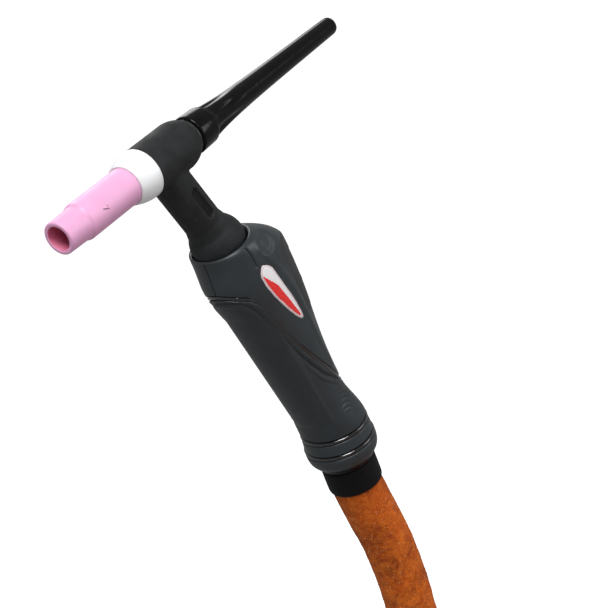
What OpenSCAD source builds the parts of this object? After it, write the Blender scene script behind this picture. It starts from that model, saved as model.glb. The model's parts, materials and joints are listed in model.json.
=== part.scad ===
// TIG welding torch, held up by its grip, with its leather-sleeved lead wound up below it.
// Millimetres, +Z up. The origin is the middle of the hand grip, on the handle's own axis.
// The torch lies in the XZ plane: the nozzle points to -X and down, the lead leaves to +X.

/* [Attitude] */
// Lean of the handle's axis from the vertical, in degrees
hold_tilt = 39; // [30:1:45]
// Angle between the nozzle's axis and the neck's axis, in degrees
head_angle = 110; // [100:1:120]
// Lean of the neck forward of the handle's axis, in degrees
neck_lean = 11.5; // [8:0.5:14]
// Bend of the tail back toward the vertical, in degrees
tail_bend = 7; // [4:1:10]

/* [Handle] */
// Grip centre up to the centre of the neck's ball seat
grip_above = 74; // [66:1:88]
// Grip centre down to the centre of the knuckle ball
grip_below = 64; // [56:1:76]
// Front-to-back depth of the handle at its widest
palm_depth = 48.6; // [44:0.2:58]
// Side-to-side width of the handle at its widest
palm_w = 37; // [35:0.5:42]
// Diameter of the handle at its waist
waist_d = 29.2; // [28:0.2:33]
// Thickness of the handle's hard shell
shell_wall = 2.4; // [2:0.1:2.8]
// Thickness of the soft grip skin over the shell
grip_skin = 1.2; // [0.8:0.1:1.6]
// Outer diameter of the tail ring
ring_d = 37.4; // [36:0.2:42]

/* [Head] */
// Outer diameter of the rubber-covered head
head_d = 23.4; // [22:0.2:28]
// Neck axis to the head's front face
head_front = 10; // [9:0.5:14]
// Neck axis to the head's rear face
head_back = 22; // [20:0.5:28]
// Outer diameter of the rubber-covered neck
neck_d = 18.4; // [17:0.2:20]
// Head axis down the neck to the centre of its ball
neck_len = 53; // [46:1:64]
// Diameter of the ball at the foot of the neck
neck_ball_d = 26.6; // [25.6:0.2:28]

/* [Nozzle and electrode] */
// Bore of the ceramic nozzle
nozzle_bore = 11.1; // [9.6:0.1:11.6]
// Outer diameter of the nozzle's main length
nozzle_d = 17.4; // [16.8:0.2:19]
// Outer diameter of the nozzle's slimmer front
nozzle_front_d = 15.5; // [14.4:0.1:16.4]
// Whole length of the nozzle
nozzle_len = 47.6; // [40:0.2:58]
// Length of the slimmer front
nozzle_front_len = 13; // [8:0.5:18]
// Length of the heat shield gasket between nozzle and head
shield_len = 11.8; // [10:0.2:14]
// Diameter of the tungsten electrode
electrode_d = 2.4; // [1.6:0.4:3.2]
// Length of the tungsten electrode
electrode_len = 175; // [150:1:180]
// Depth of the electrode's tip inside the nozzle's mouth
electrode_inset = 14; // [13:1:20]

/* [Back cap] */
// Diameter of the cap's collar
cap_collar_d = 18.8; // [18:0.2:20]
// Length of the cap's collar
cap_collar_len = 12; // [9:0.5:15]
// Length of the cap from the collar's front face to its tip
cap_len = 121.5; // [114:0.5:140]
// Diameter of the cap's tip
cap_tip_d = 9.2; // [8.6:0.2:11]
// Section diameter of the cap's seal ring
seal_d = 2.4; // [2:0.1:3]

/* [Switch] */
// How far each button stands proud of its panel
button_proud = 1.6; // [1.4:0.1:2.4]
// Width of each button across the handle
button_w = 12; // [9:0.5:13]
// Length of each button along the handle
button_len = 14; // [10:0.5:15]

/* [Lead] */
// Diameter of the leather-sleeved lead
lead_d = 27; // [25:0.5:27]
// Diameter of the power plug's contact pin
pin_d = 13; // [9:1:13]
// Length of the power plug's contact pin
pin_len = 28; // [20:1:34]

/* [Hidden] */

$fn = 48;
fit = 0.1;          // running clearance, in radius
slip = 0.3;         // clearance between pieces that only pass each other

// ---- frames ----------------------------------------------------------------------------
// Handle frame: z runs up the handle's axis, x to its back, y to its left flank.
module held() { rotate([0, -hold_tilt, 0]) children(); }
palm_shift = -2.4;  // the palm swells a little to the front
// The neck's seat lies against the front wall of the palm, forward of the handle's axis.
bulb_x = palm_shift - palm_depth / 2 + neck_ball_d / 2 + shell_wall + grip_skin;
// Neck frame: z runs up the neck from the centre of its ball.
module at_neck() { held() translate([bulb_x, 0, grip_above]) rotate([0, -neck_lean, 0]) children(); }
// Head frame: z runs from the nozzle to the back cap, x to the neck's side.
module at_head() { at_neck() translate([0, 0, neck_len]) rotate([0, head_angle, 0]) children(); }
// Tail frame: z runs up through the tail ring from the centre of the knuckle ball.
module at_tail() { held() translate([0, 0, -grip_below]) rotate([0, tail_bend, 0]) children(); }

// Turned solid from an outline of [radius, z] points.
module turned(outline, fn = $fn) { rotate_extrude($fn = fn) polygon(outline); }

module tube(r_out, r_in, z0, z1) {
    difference() {
        translate([0, 0, z0]) cylinder(r = r_out, h = z1 - z0);
        translate([0, 0, z0 - 1]) cylinder(r = r_in, h = z1 - z0 + 2);
    }
}

function smooth(t) = let (u = min(1, max(0, t))) u * u * (3 - 2 * u);
function mix(a, b, t) = a + (b - a) * t;

// ---- handle outline --------------------------------------------------------------------
z_tail = 14;                    // tail frame height where shell and tail ring meet
z_waist = -29;                  // slimmest place
z_palm = grip_above - 18;       // deepest place
z_mouth = grip_above - 2;       // rim round the neck's ball
mouth_r = neck_ball_d / 2 + 2.3;
flare_r = ring_d / 2 - 1.7;     // shell radius where it meets the tail ring
swell_depth = 1.35;             // how late the handle deepens toward the palm
swell_width = 1.2;
squareness = 2.2;               // 2 is an ellipse, more is squarer

function up_palm(z) = (z - z_waist) / (z_palm - z_waist);
function up_top(z) = min(1, max(0, (z - z_palm) / (z_mouth - z_palm)));
function down_tail(z) = (z_waist - z) / (z_waist + grip_below - z_tail);
function palm_back() = palm_shift + palm_depth / 2;
function palm_front() = palm_shift - palm_depth / 2;
// Half depth, half width and centre of the handle at height z.
function half_depth(z) =
    z < z_waist ? mix(waist_d / 2, flare_r, smooth(down_tail(z))) :
    z < z_palm ? mix(waist_d / 2, palm_depth / 2, smooth(pow(up_palm(z), swell_depth))) :
    (back_x(z) - front_x(z)) / 2;
function half_width(z) =
    z < z_waist ? half_depth(z) :
    z < z_palm ? mix(waist_d / 2, palm_w / 2, smooth(pow(up_palm(z), swell_width))) :
    mix(mouth_r, palm_w / 2, sqrt(1 - pow(up_top(z), 2)));
function back_x(z) = mix(bulb_x + mouth_r, palm_back(), 1 - pow(up_top(z), 1.5));
function front_x(z) = mix(palm_front(), bulb_x - mouth_r, up_top(z));
function centre_x(z) =
    z < z_palm ? palm_shift * smooth((z - 17) / (z_palm - 17)) :
    (back_x(z) + front_x(z)) / 2;
// Below the waist the cross-sections turn into the tail frame.
function turn_at(z) = tail_bend * smooth(down_tail(z));
function spine_x(z) = z_tail * sin(tail_bend) * smooth(down_tail(z));
function spine_z(z) = z < z_waist ?
    z_waist - down_tail(z) * (z_waist + grip_below - z_tail * cos(tail_bend)) : z;
function root(v) = sign(v) * pow(abs(v), 2 / squareness);
// Point of the handle's outline at height z and angle a (0 back, 90 left flank, 180 front),
// set in from the outside by inset.
function grip_point(z, a, inset) = let (
    x = centre_x(z) + (half_depth(z) - inset) * root(cos(a)),
    y = (half_width(z) - inset) * root(sin(a)),
    t = turn_at(z))
    [spine_x(z) + x * cos(t), y, spine_z(z) - x * sin(t)];

// Closed solid from rings of points that all have the same count.
// With strip, each ring is an outer arc and back along an inner one, and its ends are strips.
module loft(rings, strip = false) {
    m = len(rings[0]);
    n = len(rings);
    last = (n - 1) * m;
    sides = [for (i = [0 : n - 2]) for (j = [0 : m - 1]) for (k = [0, 1])
        let (a = i * m + j, b = i * m + (j + 1) % m, c = a + m, d = b + m)
        k == 0 ? [a, c, b] : [b, c, d]];
    ends = strip ? [for (j = [0 : m / 2 - 2]) for (k = [0, 1]) let (h = m - 1 - j)
            k == 0 ? [j, j + 1, h - 1, h] : [last + h, last + h - 1, last + j + 1, last + j]] :
        [[for (j = [0 : m - 1]) j], [for (j = [m - 1 : -1 : 0]) last + j]];
    polyhedron(points = [for (r = rings) each r], faces = concat(sides, ends), convexity = 8);
}

z_shell_end = z_tail - grip_below;

// ---- soft skin edge and switch recess --------------------------------------------------
// The soft skin covers the palm side and the whole waist. Its upper edge crosses the front
// just below the neck, drops along each flank and runs out to the back above the waist.
// Angle from the front and height of the skin's edge, from the front round to the back.
skin_line = [[0, grip_above - 20.2], [13, grip_above - 21], [26, grip_above - 22.8], [40, grip_above - 25.6],
    [47, grip_above - 29.6], [50.5, grip_above - 33], [51.5, grip_above - 38.2], [52.5, grip_above - 44],
    [56, 20], [64, 9.7], [78, -0.9], [94, -12.3], [115, -23.5], [145, -30.5], [180, -33]];
function from_front(a) = abs((a + 360) % 360 - 180);
function skin_edge(a) = lookup(from_front(a), skin_line);
groove_w = 2;

panel_z0 = 17;
panel_z1 = z_palm + 4;
panel_angle = 75;
panel_depth = 1.5;
panel_step = 7.5;
// Depth of the recess that the switch panel lies in, at height z and angle a.
function recess(z, a) = let (f = 180 - from_front(a))
    panel_depth * smooth((panel_angle + panel_step - f) / panel_step)
    * smooth((z - panel_z0 + 4) / 4) * smooth((panel_z1 + 4 - z) / 4);

low_rows = 9;
high_rows = 22;
mouth_wall = 1.9;
// Height of a shell row at angle a: rows up to low_rows lie under the skin.
function row_z(k, a) = k <= low_rows ? mix(z_shell_end, skin_edge(a) + groove_w, k / low_rows) :
    mix(skin_edge(a) + groove_w + 0.4, z_mouth, (k - low_rows - 1) / high_rows);
function row_out(k, a) = k <= low_rows ? grip_skin : recess(row_z(k, a), a);
function row_in(k) = k <= low_rows ? grip_skin + shell_wall :
    mix(grip_skin + shell_wall, mouth_wall, smooth((k - low_rows) / (high_rows - 3)));
shell_steps = 24;
core_inset = 11.5;      // how far in the filler behind the shell wall reaches
// Half shell from angle a0 to a1; a solid one runs in towards the handle's axis.
module shell_wall_patch(a0, a1, steps, solid) {
    loft([for (k = [0 : low_rows + 1 + high_rows]) concat(
        [for (i = [0 : steps]) let (a = mix(a0, a1, i / steps)) grip_point(row_z(k, a), a,
            row_out(k, a) + (solid ? shell_wall / 2 : 0))],
        [for (i = [steps : -1 : 0]) let (a = mix(a0, a1, i / steps)) grip_point(row_z(k, a), a,
            solid ? core_inset : row_in(k))])], true);
}

// ---- head group ------------------------------------------------------------------------
head_r = head_d / 2;
neck_r = neck_d / 2;
ball_r = neck_ball_d / 2;
core_r = 8.2;
core_front = -head_front + 0.5;
core_back = head_back - 2;
spigot_r = 6.2;                 // threaded part of the back cap
spigot_len = 8;
cap_front = head_back + seal_d; // front face of the cap's collar
collet_r = 2.1;
thread_r = 5.9;                 // threaded part of the collet body, inside the nozzle
shank_r = 4.95;
nose_r = 4.2;
neck_bore_r = 4;
nozzle_back = -head_front - shield_len + 2.4;
nozzle_mouth = nozzle_back - nozzle_len;
thread_len = 9.5;

module torch_cover() {
    color([0.13, 0.13, 0.14]) difference() {
        union() {
            at_head() turned([[0, -head_front], [head_r, -head_front], [head_r, head_back - 7],
                [head_r - 0.35, head_back - 4.6], [head_r - 1.1, head_back - 2.2],
                [head_r - 2.1, head_back], [0, head_back]]);
            at_neck() cylinder(r = neck_r, h = neck_len);
            at_neck() turned([[0, 0], [ball_r - 2.4, 6], [neck_r + 0.8, 10.4],
                [neck_r, 13.5], [0, 13.5]]);
            at_neck() sphere(r = ball_r);
        }
        at_head() translate([0, 0, -head_front - 1]) cylinder(r = core_r, h = core_back + head_front + 1);
        at_head() cylinder(r = spigot_r + slip, h = head_back + 1);
        at_neck() translate([0, 0, -ball_r - 1]) cylinder(r = neck_bore_r, h = neck_len + ball_r);
        at_neck() translate([0, 0, -ball_r - 6]) cylinder(r = ball_r + 1, h = 10);
        for (side = [-1, 1]) at_neck() grip_slot(side);
    }
}

slot_len = 17.5;
slot_w = 4.6;
slot_depth = 1.1;
// Long shallow recess on each side of the neck.
module grip_slot(side) {
    translate([0, side * neck_r, neck_len - 27])
        rotate([90, 0, 0]) linear_extrude(2 * slot_depth, center = true) {
        for (end = [-1, 1]) translate([0, end * (slot_len - slot_w) / 2]) circle(d = slot_w);
        square([slot_w, slot_len - slot_w], center = true);
    }
}

module head_core() {
    color([0.80, 0.62, 0.30]) at_head() difference() {
        translate([0, 0, core_front]) cylinder(r = core_r, h = core_back - core_front);
        translate([0, 0, core_front - 1]) cylinder(r = shank_r + 0.05, h = 8.5 + 1);
        translate([0, 0, core_front]) cylinder(r = collet_r + 0.2, h = core_back - core_front + 1);
        translate([0, 0, collet_back - 2.8]) cylinder(r = spigot_r + fit, h = head_back);
        rotate([0, -head_angle + 180, 0]) translate([0, 0, shank_r]) cylinder(r = 3, h = core_r);
    }
}

tube_foot = -24;                // lower end of the neck tube, in the neck frame
module neck_tube() {
    color([0.78, 0.45, 0.28]) difference() {
        at_neck() tube(neck_bore_r, 2.6, tube_foot, neck_len);
        at_head() translate([0, 0, -30]) cylinder(r = core_r, h = 60);
    }
}

seat_r = ball_r - 0.3;
module neck_seat() {
    color([0.10, 0.10, 0.11]) held() translate([bulb_x, 0, grip_above]) difference() {
        translate([0, 0, -16]) cylinder(r = seat_r, h = 10);
        sphere(r = ball_r + 0.2);
        translate([0, 0, -20]) cylinder(r = 9, h = 20);
    }
}

module collet_body() {
    color([0.83, 0.66, 0.34]) at_head() difference() {
        turned([[collet_r + 0.2, core_front + 8.5], [shank_r, core_front + 8.5], [shank_r, -head_front],
            [thread_r, -head_front], [thread_r, nozzle_back - thread_len + 1],
            [nose_r, nozzle_back - thread_len - 0.5], [nose_r, nozzle_back - thread_len - 7],
            [electrode_d / 2 + 1.4, nozzle_back - thread_len - 9],
            [electrode_d / 2 + 0.2, nozzle_back - thread_len - 9],
            [electrode_d / 2 + 0.2, nozzle_back - thread_len - 8],
            [collet_r + 0.2, nozzle_back - thread_len - 6.6]]);
        for (turn = [0 : 60 : 120]) rotate([0, 0, turn]) translate([0, 0, nozzle_back - thread_len - 3.5])
            rotate([90, 0, 0]) cylinder(d = 1.6, h = 20, center = true, $fn = 24);
    }
}

collet_back = cap_front - spigot_len - 0.1;
module collet() {
    color([0.74, 0.44, 0.26]) at_head() difference() {
        turned([[electrode_d / 2 + 0.05, collet_back], [collet_r + 1.1, collet_back],
            [collet_r + 1.1, collet_back - 2.6], [collet_r, collet_back - 2.6],
            [collet_r, nozzle_back - thread_len - 6],
            [electrode_d / 2 + 0.05, nozzle_back - thread_len - 6]]);
        for (turn = [0, 90]) rotate([0, 0, turn]) translate([-0.3, -5, nozzle_back - thread_len - 7])
            cube([0.6, 10, 22]);
    }
}

electrode_tip = nozzle_mouth + electrode_inset;
module electrode() {
    color([0.55, 0.56, 0.58]) at_head() turned([[0, electrode_tip], [0.25, electrode_tip],
        [electrode_d / 2, electrode_tip + 5], [electrode_d / 2, electrode_tip + electrode_len],
        [0, electrode_tip + electrode_len]]);
}

module nozzle() {
    r_bore = nozzle_bore / 2;
    r_front = nozzle_front_d / 2;
    r_main = nozzle_d / 2;
    color([0.86, 0.52, 0.62]) at_head() turned([[r_bore, nozzle_mouth + 0.5], [r_bore + 0.5, nozzle_mouth],
        [r_front - 0.7, nozzle_mouth], [r_front, nozzle_mouth + 0.7],
        [r_front + 0.15, nozzle_mouth + nozzle_front_len - 0.6],
        [r_main, nozzle_mouth + nozzle_front_len + 0.8],
        [r_main, nozzle_back - 0.5], [r_main - 0.5, nozzle_back], [thread_r + fit, nozzle_back],
        [thread_r + fit, nozzle_back - thread_len], [r_bore, nozzle_back - thread_len - 1]]);
}

// PTFE gasket: the nozzle's end seats in its front recess.
module heat_shield() {
    color([0.95, 0.95, 0.94]) at_head() turned([[thread_r + fit, -head_front - fit],
        [head_r, -head_front - fit], [head_r, -head_front - 3.6], [head_r - 0.5, -head_front - 6.4],
        [head_r - 1.3, -head_front - 9.2], [nozzle_d / 2 + 0.9, -head_front - shield_len + 0.3],
        [nozzle_d / 2 + 0.6, -head_front - shield_len], [nozzle_d / 2 + fit, -head_front - shield_len],
        [nozzle_d / 2 + fit, nozzle_back], [thread_r + fit, nozzle_back]]);
}

// ---- back cap --------------------------------------------------------------------------
seal_ring_r = cap_collar_d / 2 - 0.6 - seal_d / 2;
module cap_seal() {
    color([0.05, 0.05, 0.05]) at_head() translate([0, 0, head_back + seal_d / 2])
        rotate_extrude() translate([seal_ring_r, 0]) circle(d = seal_d - 0.06, $fn = 24);
}

cap_bore_r = 1.8;
flute_count = 6;
stem_len = cap_len - cap_collar_len;
tip_r = cap_tip_d / 2;
stem_r = cap_collar_d / 2 - 1.3;
// Radius of the stem, falling fast behind the collar and slowly toward the tip.
function stem_at(t) = tip_r + (stem_r - tip_r) * (0.36 * (1 - t) + 0.64 * exp(-6.5 * t));
module back_cap() {
    z0 = cap_front;
    z1 = cap_front + cap_collar_len;
    z2 = cap_front + cap_len;
    steps = 14;
    color([0.05, 0.05, 0.05]) at_head() difference() {
        turned(concat([[cap_bore_r, z0 - spigot_len], [spigot_r, z0 - spigot_len], [spigot_r, z0],
            [cap_collar_d / 2 - 0.5, z0], [cap_collar_d / 2, z0 + 0.6],
            [cap_collar_d / 2 - 0.35, z1 - 0.6], [cap_collar_d / 2 - 0.9, z1]],
            [for (i = [0 : steps]) [stem_at(i / steps), mix(z1, z2 - 2, i / steps)]],
            [[tip_r - 0.7, z2 - 0.5], [tip_r - 1.8, z2], [0, z2], [0, z2 - 4], [cap_bore_r, z2 - 4]]));
        for (k = [0 : flute_count - 1]) rotate([0, 0, k * 360 / flute_count])
            translate([stem_r + 14.2, 0, z1 + 0.8]) rotate([0, -3.2, 0]) cylinder(r = 15, h = 44, $fn = 48);
    }
}

// ---- handle ----------------------------------------------------------------------------
boss_r = 4;
screw_r = 1.45;
head_screw_r = 2.8;
bosses = [[-15, 44], [8.8, 6], [8, -22]];
window_z0 = 20;
window_z1 = z_palm + 2;
module half_shell(side) {
    difference() {
        union() {
            shell_wall_patch(side > 0 ? 0 : 180, side > 0 ? 180 : 360, shell_steps, false);
            intersection() {
                for (b = bosses) translate([b[0], 0, b[1]]) rotate([side > 0 ? -90 : 90, 0, 0])
                    translate([0, 0, 0.05]) cylinder(r = boss_r, h = 30);
                shell_wall_patch(side > 0 ? 0 : 180, side > 0 ? 180 : 360, shell_steps, true);
            }
        }
        for (b = bosses) translate([b[0], 0, b[1]]) rotate([90, 0, 0])
            cylinder(r = screw_r + 0.05, h = 18, center = true, $fn = 24);
        if (side > 0) for (b = bosses) translate([b[0], 6, b[1]]) rotate([-90, 0, 0])
            cylinder(r = head_screw_r + 0.2, h = 30, $fn = 24);
        translate([5, -9, window_z0]) cube([40, 18, window_z1 - window_z0]);
    }
}
module handle_shell_left() { color([0.25, 0.26, 0.28]) held() half_shell(1); }
module handle_shell_right() { color([0.25, 0.26, 0.28]) held() half_shell(-1); }

module shell_screws() {
    color([0.35, 0.35, 0.37]) held() for (b = bosses)
        translate([b[0], 0, b[1]]) rotate([-90, 0, 0]) difference() {
        union() {
            translate([0, 0, -7]) cylinder(r = screw_r, h = 13.5, $fn = 24);
            translate([0, 0, 6]) cylinder(r = head_screw_r, h = 1.9, $fn = 24);
        }
        translate([0, 0, 6.9]) cylinder(r = 1.3, h = 2, $fn = 6);
    }
}

// Closed ring-shaped solid: the rows run up the outside and back down the inside.
module ring_loft(rows) {
    m = len(rows[0]);
    n = len(rows);
    polyhedron(points = [for (r = rows) each r],
        faces = [for (i = [0 : n - 1]) for (j = [0 : m - 1]) for (k = [0, 1])
            let (ni = (i + 1) % n, nj = (j + 1) % m,
                a = i * m + j, b = i * m + nj, c = ni * m + j, d = ni * m + nj)
            k == 0 ? [a, c, b] : [b, c, d]], convexity = 8);
}

function skin_ring(u, inset) = [for (i = [0 : 2 * shell_steps - 1]) let (a = i * 180 / shell_steps)
    grip_point(mix(z_shell_end + 0.5, skin_edge(a), u), a, inset)];
module grip_skin_sleeve() {
    color([0.20, 0.21, 0.23]) held() ring_loft(concat(
        [for (k = [0 : low_rows]) skin_ring(k / low_rows, 0.05)],
        [for (k = [low_rows : -1 : 0]) skin_ring(k / low_rows, grip_skin - 0.05)]));
}

// Leaf-shaped badge on each flank, curved like the flank and set just into it.
badge_top = grip_above - 15;
badge_foot = grip_above - 53;
badge_w = 11;
badge_rise = 0.6;
function badge_mid(t) = mix(-7.4, 0.4, t) - 2.6 * sin(180 * t);
function badge_half(t) = badge_w / 2 * pow(sin(180 * pow(t, 0.62)), 0.8) + 0.1;
// Angle of the handle's outline where it stands at x at height z.
function angle_at(x, z) = let (u = (x - centre_x(z)) / half_depth(z))
    acos(sign(u) * pow(abs(u), squareness / 2));
module badges() {
    rows = 18;
    cols = 6;
    color([0.88, 0.84, 0.85]) held() for (side = [-1, 1]) loft([for (k = [0 : rows])
        let (t = k / rows, z = mix(badge_top, badge_foot, t)) concat(
        [for (i = [0 : cols]) badge_point(z, t, i / cols, side, -badge_rise)],
        [for (i = [cols : -1 : 0]) badge_point(z, t, i / cols, side, -0.05)])], true);
}
function badge_point(z, t, v, side, inset) = let (
    x = badge_mid(t) + badge_half(t) * mix(-1, 1, side > 0 ? v : 1 - v), a = angle_at(x, z))
    grip_point(z, side > 0 ? a : 360 - a, inset);

button_gap = 0.3;
upper_z = 48;
lower_z = 30;
button_in = 15;                 // inner end of each button, clear of its switch by the travel
travel = 1.5;
button_r = 3;
module button_outline(grow) {
    w = button_w / 2 + grow - button_r;
    l = button_len / 2 + grow - button_r;
    for (sx = [-1, 1]) for (sy = [-1, 1]) translate([sx * l, sy * w]) circle(r = button_r, $fn = 32);
    square([2 * l, 2 * (w + button_r)], center = true);
    square([2 * (l + button_r), 2 * w], center = true);
}
module button_at(z, grow, x0, x1) {
    translate([x0, 0, z]) rotate([0, 90, 0]) linear_extrude(x1 - x0) button_outline(grow);
}
module switch_panel() {
    rows = 16;
    cols = round(2 * panel_angle / panel_step) + 2;
    half = panel_angle + panel_step;
    color([0.16, 0.17, 0.18]) held() difference() {
        loft([for (k = [0 : rows]) let (z = mix(panel_z0, panel_z1, k / rows)) concat(
            [for (i = [0 : cols]) let (a = mix(-half, half, i / cols)) grip_point(z, a, -0.6)],
            [for (i = [cols : -1 : 0]) let (a = mix(-half, half, i / cols))
                grip_point(z, a, recess(z, a) - 0.25)])], true);
        for (z = [upper_z, lower_z]) button_at(z, button_gap, 12, 40);
    }
}
module push_button(z) {
    color([0.12, 0.12, 0.13]) held() button_at(z, 0, button_in, back_or_palm(z) + 0.6 + button_proud);
}
function back_or_palm(z) = centre_x(z) + half_depth(z);
module button_upper() { push_button(upper_z); }
module button_lower() { push_button(lower_z); }

board_x = 8;
board_t = 1.5;
module switch_board() {
    color([0.10, 0.35, 0.18]) held() translate([board_x, -7, window_z0 + 1])
        cube([board_t, 14, window_z1 - window_z0 - 2]);
}
module microswitches() {
    x0 = board_x + board_t;
    color([0.15, 0.15, 0.16]) held() for (z = [upper_z, lower_z]) {
        translate([x0, -3, z - 3]) cube([button_in - travel - 0.3 - x0, 6, 6]);
        translate([button_in - travel - 0.4, 0, z]) rotate([0, 90, 0]) cylinder(r = 1.5, h = 0.3, $fn = 24);
    }
}

joint_r = 5.2;
module cable_joint() {
    color([0.80, 0.62, 0.30]) at_neck() difference() {
        translate([0, 0, tube_foot - 10]) cylinder(r = joint_r, h = 16);
        translate([0, 0, tube_foot]) cylinder(r = neck_bore_r + 0.02, h = 8);
        translate([0, 0, tube_foot - 11]) cylinder(r = 2.6, h = 20);
    }
}

hose_r = 4.6;
hose_top = [bulb_x - (tube_foot - 10) * sin(neck_lean), grip_above + (tube_foot - 10) * cos(neck_lean) - 0.6];
module power_hose() {
    dx = -hose_top[0];
    dz = grip_below + hose_top[1];
    color([0.10, 0.10, 0.10]) held() translate([0, 0, -grip_below]) rotate([0, -atan(dx / dz), 0])
        cylinder(r = hose_r, h = norm([dx, dz]) - 0.8);
}
module control_wires() {
    color([0.75, 0.15, 0.12]) held() for (y = [-8.5, 8.5]) translate([2, y, z_shell_end + 6])
        cylinder(r = 1, h = window_z0 - z_shell_end - 6, $fn = 16);
}

// ---- tail and knuckle ------------------------------------------------------------------
ring_r = ring_d / 2;
knuckle_r = ring_r - 2.1;
socket_r = knuckle_r + fit;
band_front = [z_tail - 2.8, z_tail - 0.4];
band_rear = [2.6, 5];
tail_end = -5.5;
module tail_ring() {
    color([0.30, 0.31, 0.33]) at_tail() difference() {
        turned([[0, tail_end], [ring_r - 2.4, tail_end], [ring_r - 1.3, tail_end + 1.1],
            [ring_r - 0.4, tail_end + 3], [ring_r, 0], [ring_r - 0.1, band_rear[0]],
            [ring_r - 1.4, band_rear[0]], [ring_r - 1.4, band_rear[1]], [ring_r - 0.5, band_rear[1]],
            [ring_r - 1, band_front[0]], [ring_r - 2.3, band_front[0]], [ring_r - 2.3, band_front[1]],
            [flare_r + 0.1, band_front[1]], [flare_r, z_tail],
            [flare_r - shell_wall - grip_skin - 0.3, z_tail],
            [flare_r - shell_wall - grip_skin - 0.3, z_tail + 4], [0, z_tail + 4]]);
        sphere(r = socket_r);
        cylinder(r = 12, h = 40);
    }
}
module tail_band(zs, r) {
    color([0.03, 0.03, 0.03]) at_tail() turned([[r - 1.3, zs[0] + 0.05], [r - 0.3, zs[0] + 0.05],
        [r + 0.05, zs[0] + 0.5], [r + 0.05, zs[1] - 0.5], [r - 0.3, zs[1] - 0.05], [r - 1.3, zs[1] - 0.05]]);
}
module tail_band_front() { tail_band(band_front, ring_r - 1); }
module tail_band_rear() { tail_band(band_rear, ring_r - 0.05); }

collar_r = lead_d / 2 + 0.8;
collar_top = -9.2;
collar_step = -18;
collar_end = -23;
leads_r = 9.5;
module knuckle_ball() {
    color([0.04, 0.04, 0.04]) at_tail() difference() {
        union() {
            difference() {
                sphere(r = knuckle_r);
                translate([0, 0, 9.5]) cylinder(r = knuckle_r, h = knuckle_r);
                translate([0, 0, collar_top - knuckle_r]) cylinder(r = knuckle_r, h = knuckle_r);
            }
            translate([0, 0, collar_step]) cylinder(r = collar_r - 2.1, h = collar_top - collar_step + 1);
        }
        translate([0, 0, -40]) cylinder(r = leads_r, h = 80);
    }
}
module cable_collar() {
    color([0.12, 0.12, 0.12]) at_tail() turned([[collar_r - 2.08, collar_top], [collar_r - 0.4, collar_top],
        [collar_r, collar_top - 0.5], [collar_r, collar_end + 0.6], [collar_r - 0.3, collar_end],
        [lead_d / 2 + fit, collar_end], [lead_d / 2 + fit, collar_step], [collar_r - 2.08, collar_step]]);
}

// ---- lead ------------------------------------------------------------------------------
lead_r = lead_d / 2;
rest_z = -260;                  // what the wound lead lies on
lead_z = rest_z + 15;           // centre of the lead where it lies
coil_c = [250, -168.5];
coil_in = 128;
coil_out = 182;
coil_h = 54;
// Centre line of the lead from the knuckle to the coil.
run_route = [[61, 0, -80], [68, 0, -88.5], [76, 0, -98], [82, 0, -106], [88, 0, -115],
    [93, 0, -123], [98, 0, -132], [105, 0, -147], [115, 0, -166], [128, 0, -185], [145, 0, -203],
    [160, 0, -215]];
tail_route = [[176, -337, -231], [163, -337, -235.5], [150, -337, -239.5], [137, -337, -242.8],
    [124, -337, -244.6], [110, -337, -245], [88, -337, -245]];
power_r = 6.45;
gas_r = 3.95;
control_r = 2.75;
// Each lead starts just short of the sleeve's end and runs straight through the cuff.
power_route = [[87.9, -341, -246], [81, -341, -246], [72, -341.1, -245.4], [62, -341.6, -243.3],
    [54, -342, -242.2], [46, -342, -242], [36.1, -342, -242]];
gas_route = [[87.9, -330.5, -249], [82, -330.5, -249], [72, -329.6, -250.4], [60, -326.2, -253.2],
    [47, -320.5, -255], [34, -313, -255.6], [22, -306.5, -254.6], [11, -303, -251.7], [2, -302, -250.2],
    [-3, -302, -250], [-9.9, -302, -250]];
control_route = [[87.9, -333.5, -238], [82, -333.5, -238], [72, -331.2, -238.8], [60, -325.4, -241.2],
    [47, -315.8, -244.6], [35, -304, -248.6], [24, -293, -252.4], [13, -284.2, -254.2], [3, -279.4, -252.9],
    [-4, -278, -251.6], [-9, -278, -251.5], [-13.9, -278, -251.5]];

function unit(v) = v / norm(v);
// Direction of a route at point i.
function heading(p, i) = unit(p[min(i + 1, len(p) - 1)] - p[max(i - 1, 0)]);
// Ring of a round tube about a route's point, square to the heading.
function tube_ring(p, i, r, sides) = let (d = heading(p, i),
    s = unit(cross(d, [0.1, 1, 0.05])), u = cross(s, d))
    [for (k = [0 : sides - 1]) p[i] + r * (cos(k * 360 / sides) * s + sin(k * 360 / sides) * u)];
module swept(route, r, sides) {
    loft([for (i = [0 : len(route) - 1]) tube_ring(route, i, r, sides)]);
}

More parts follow.
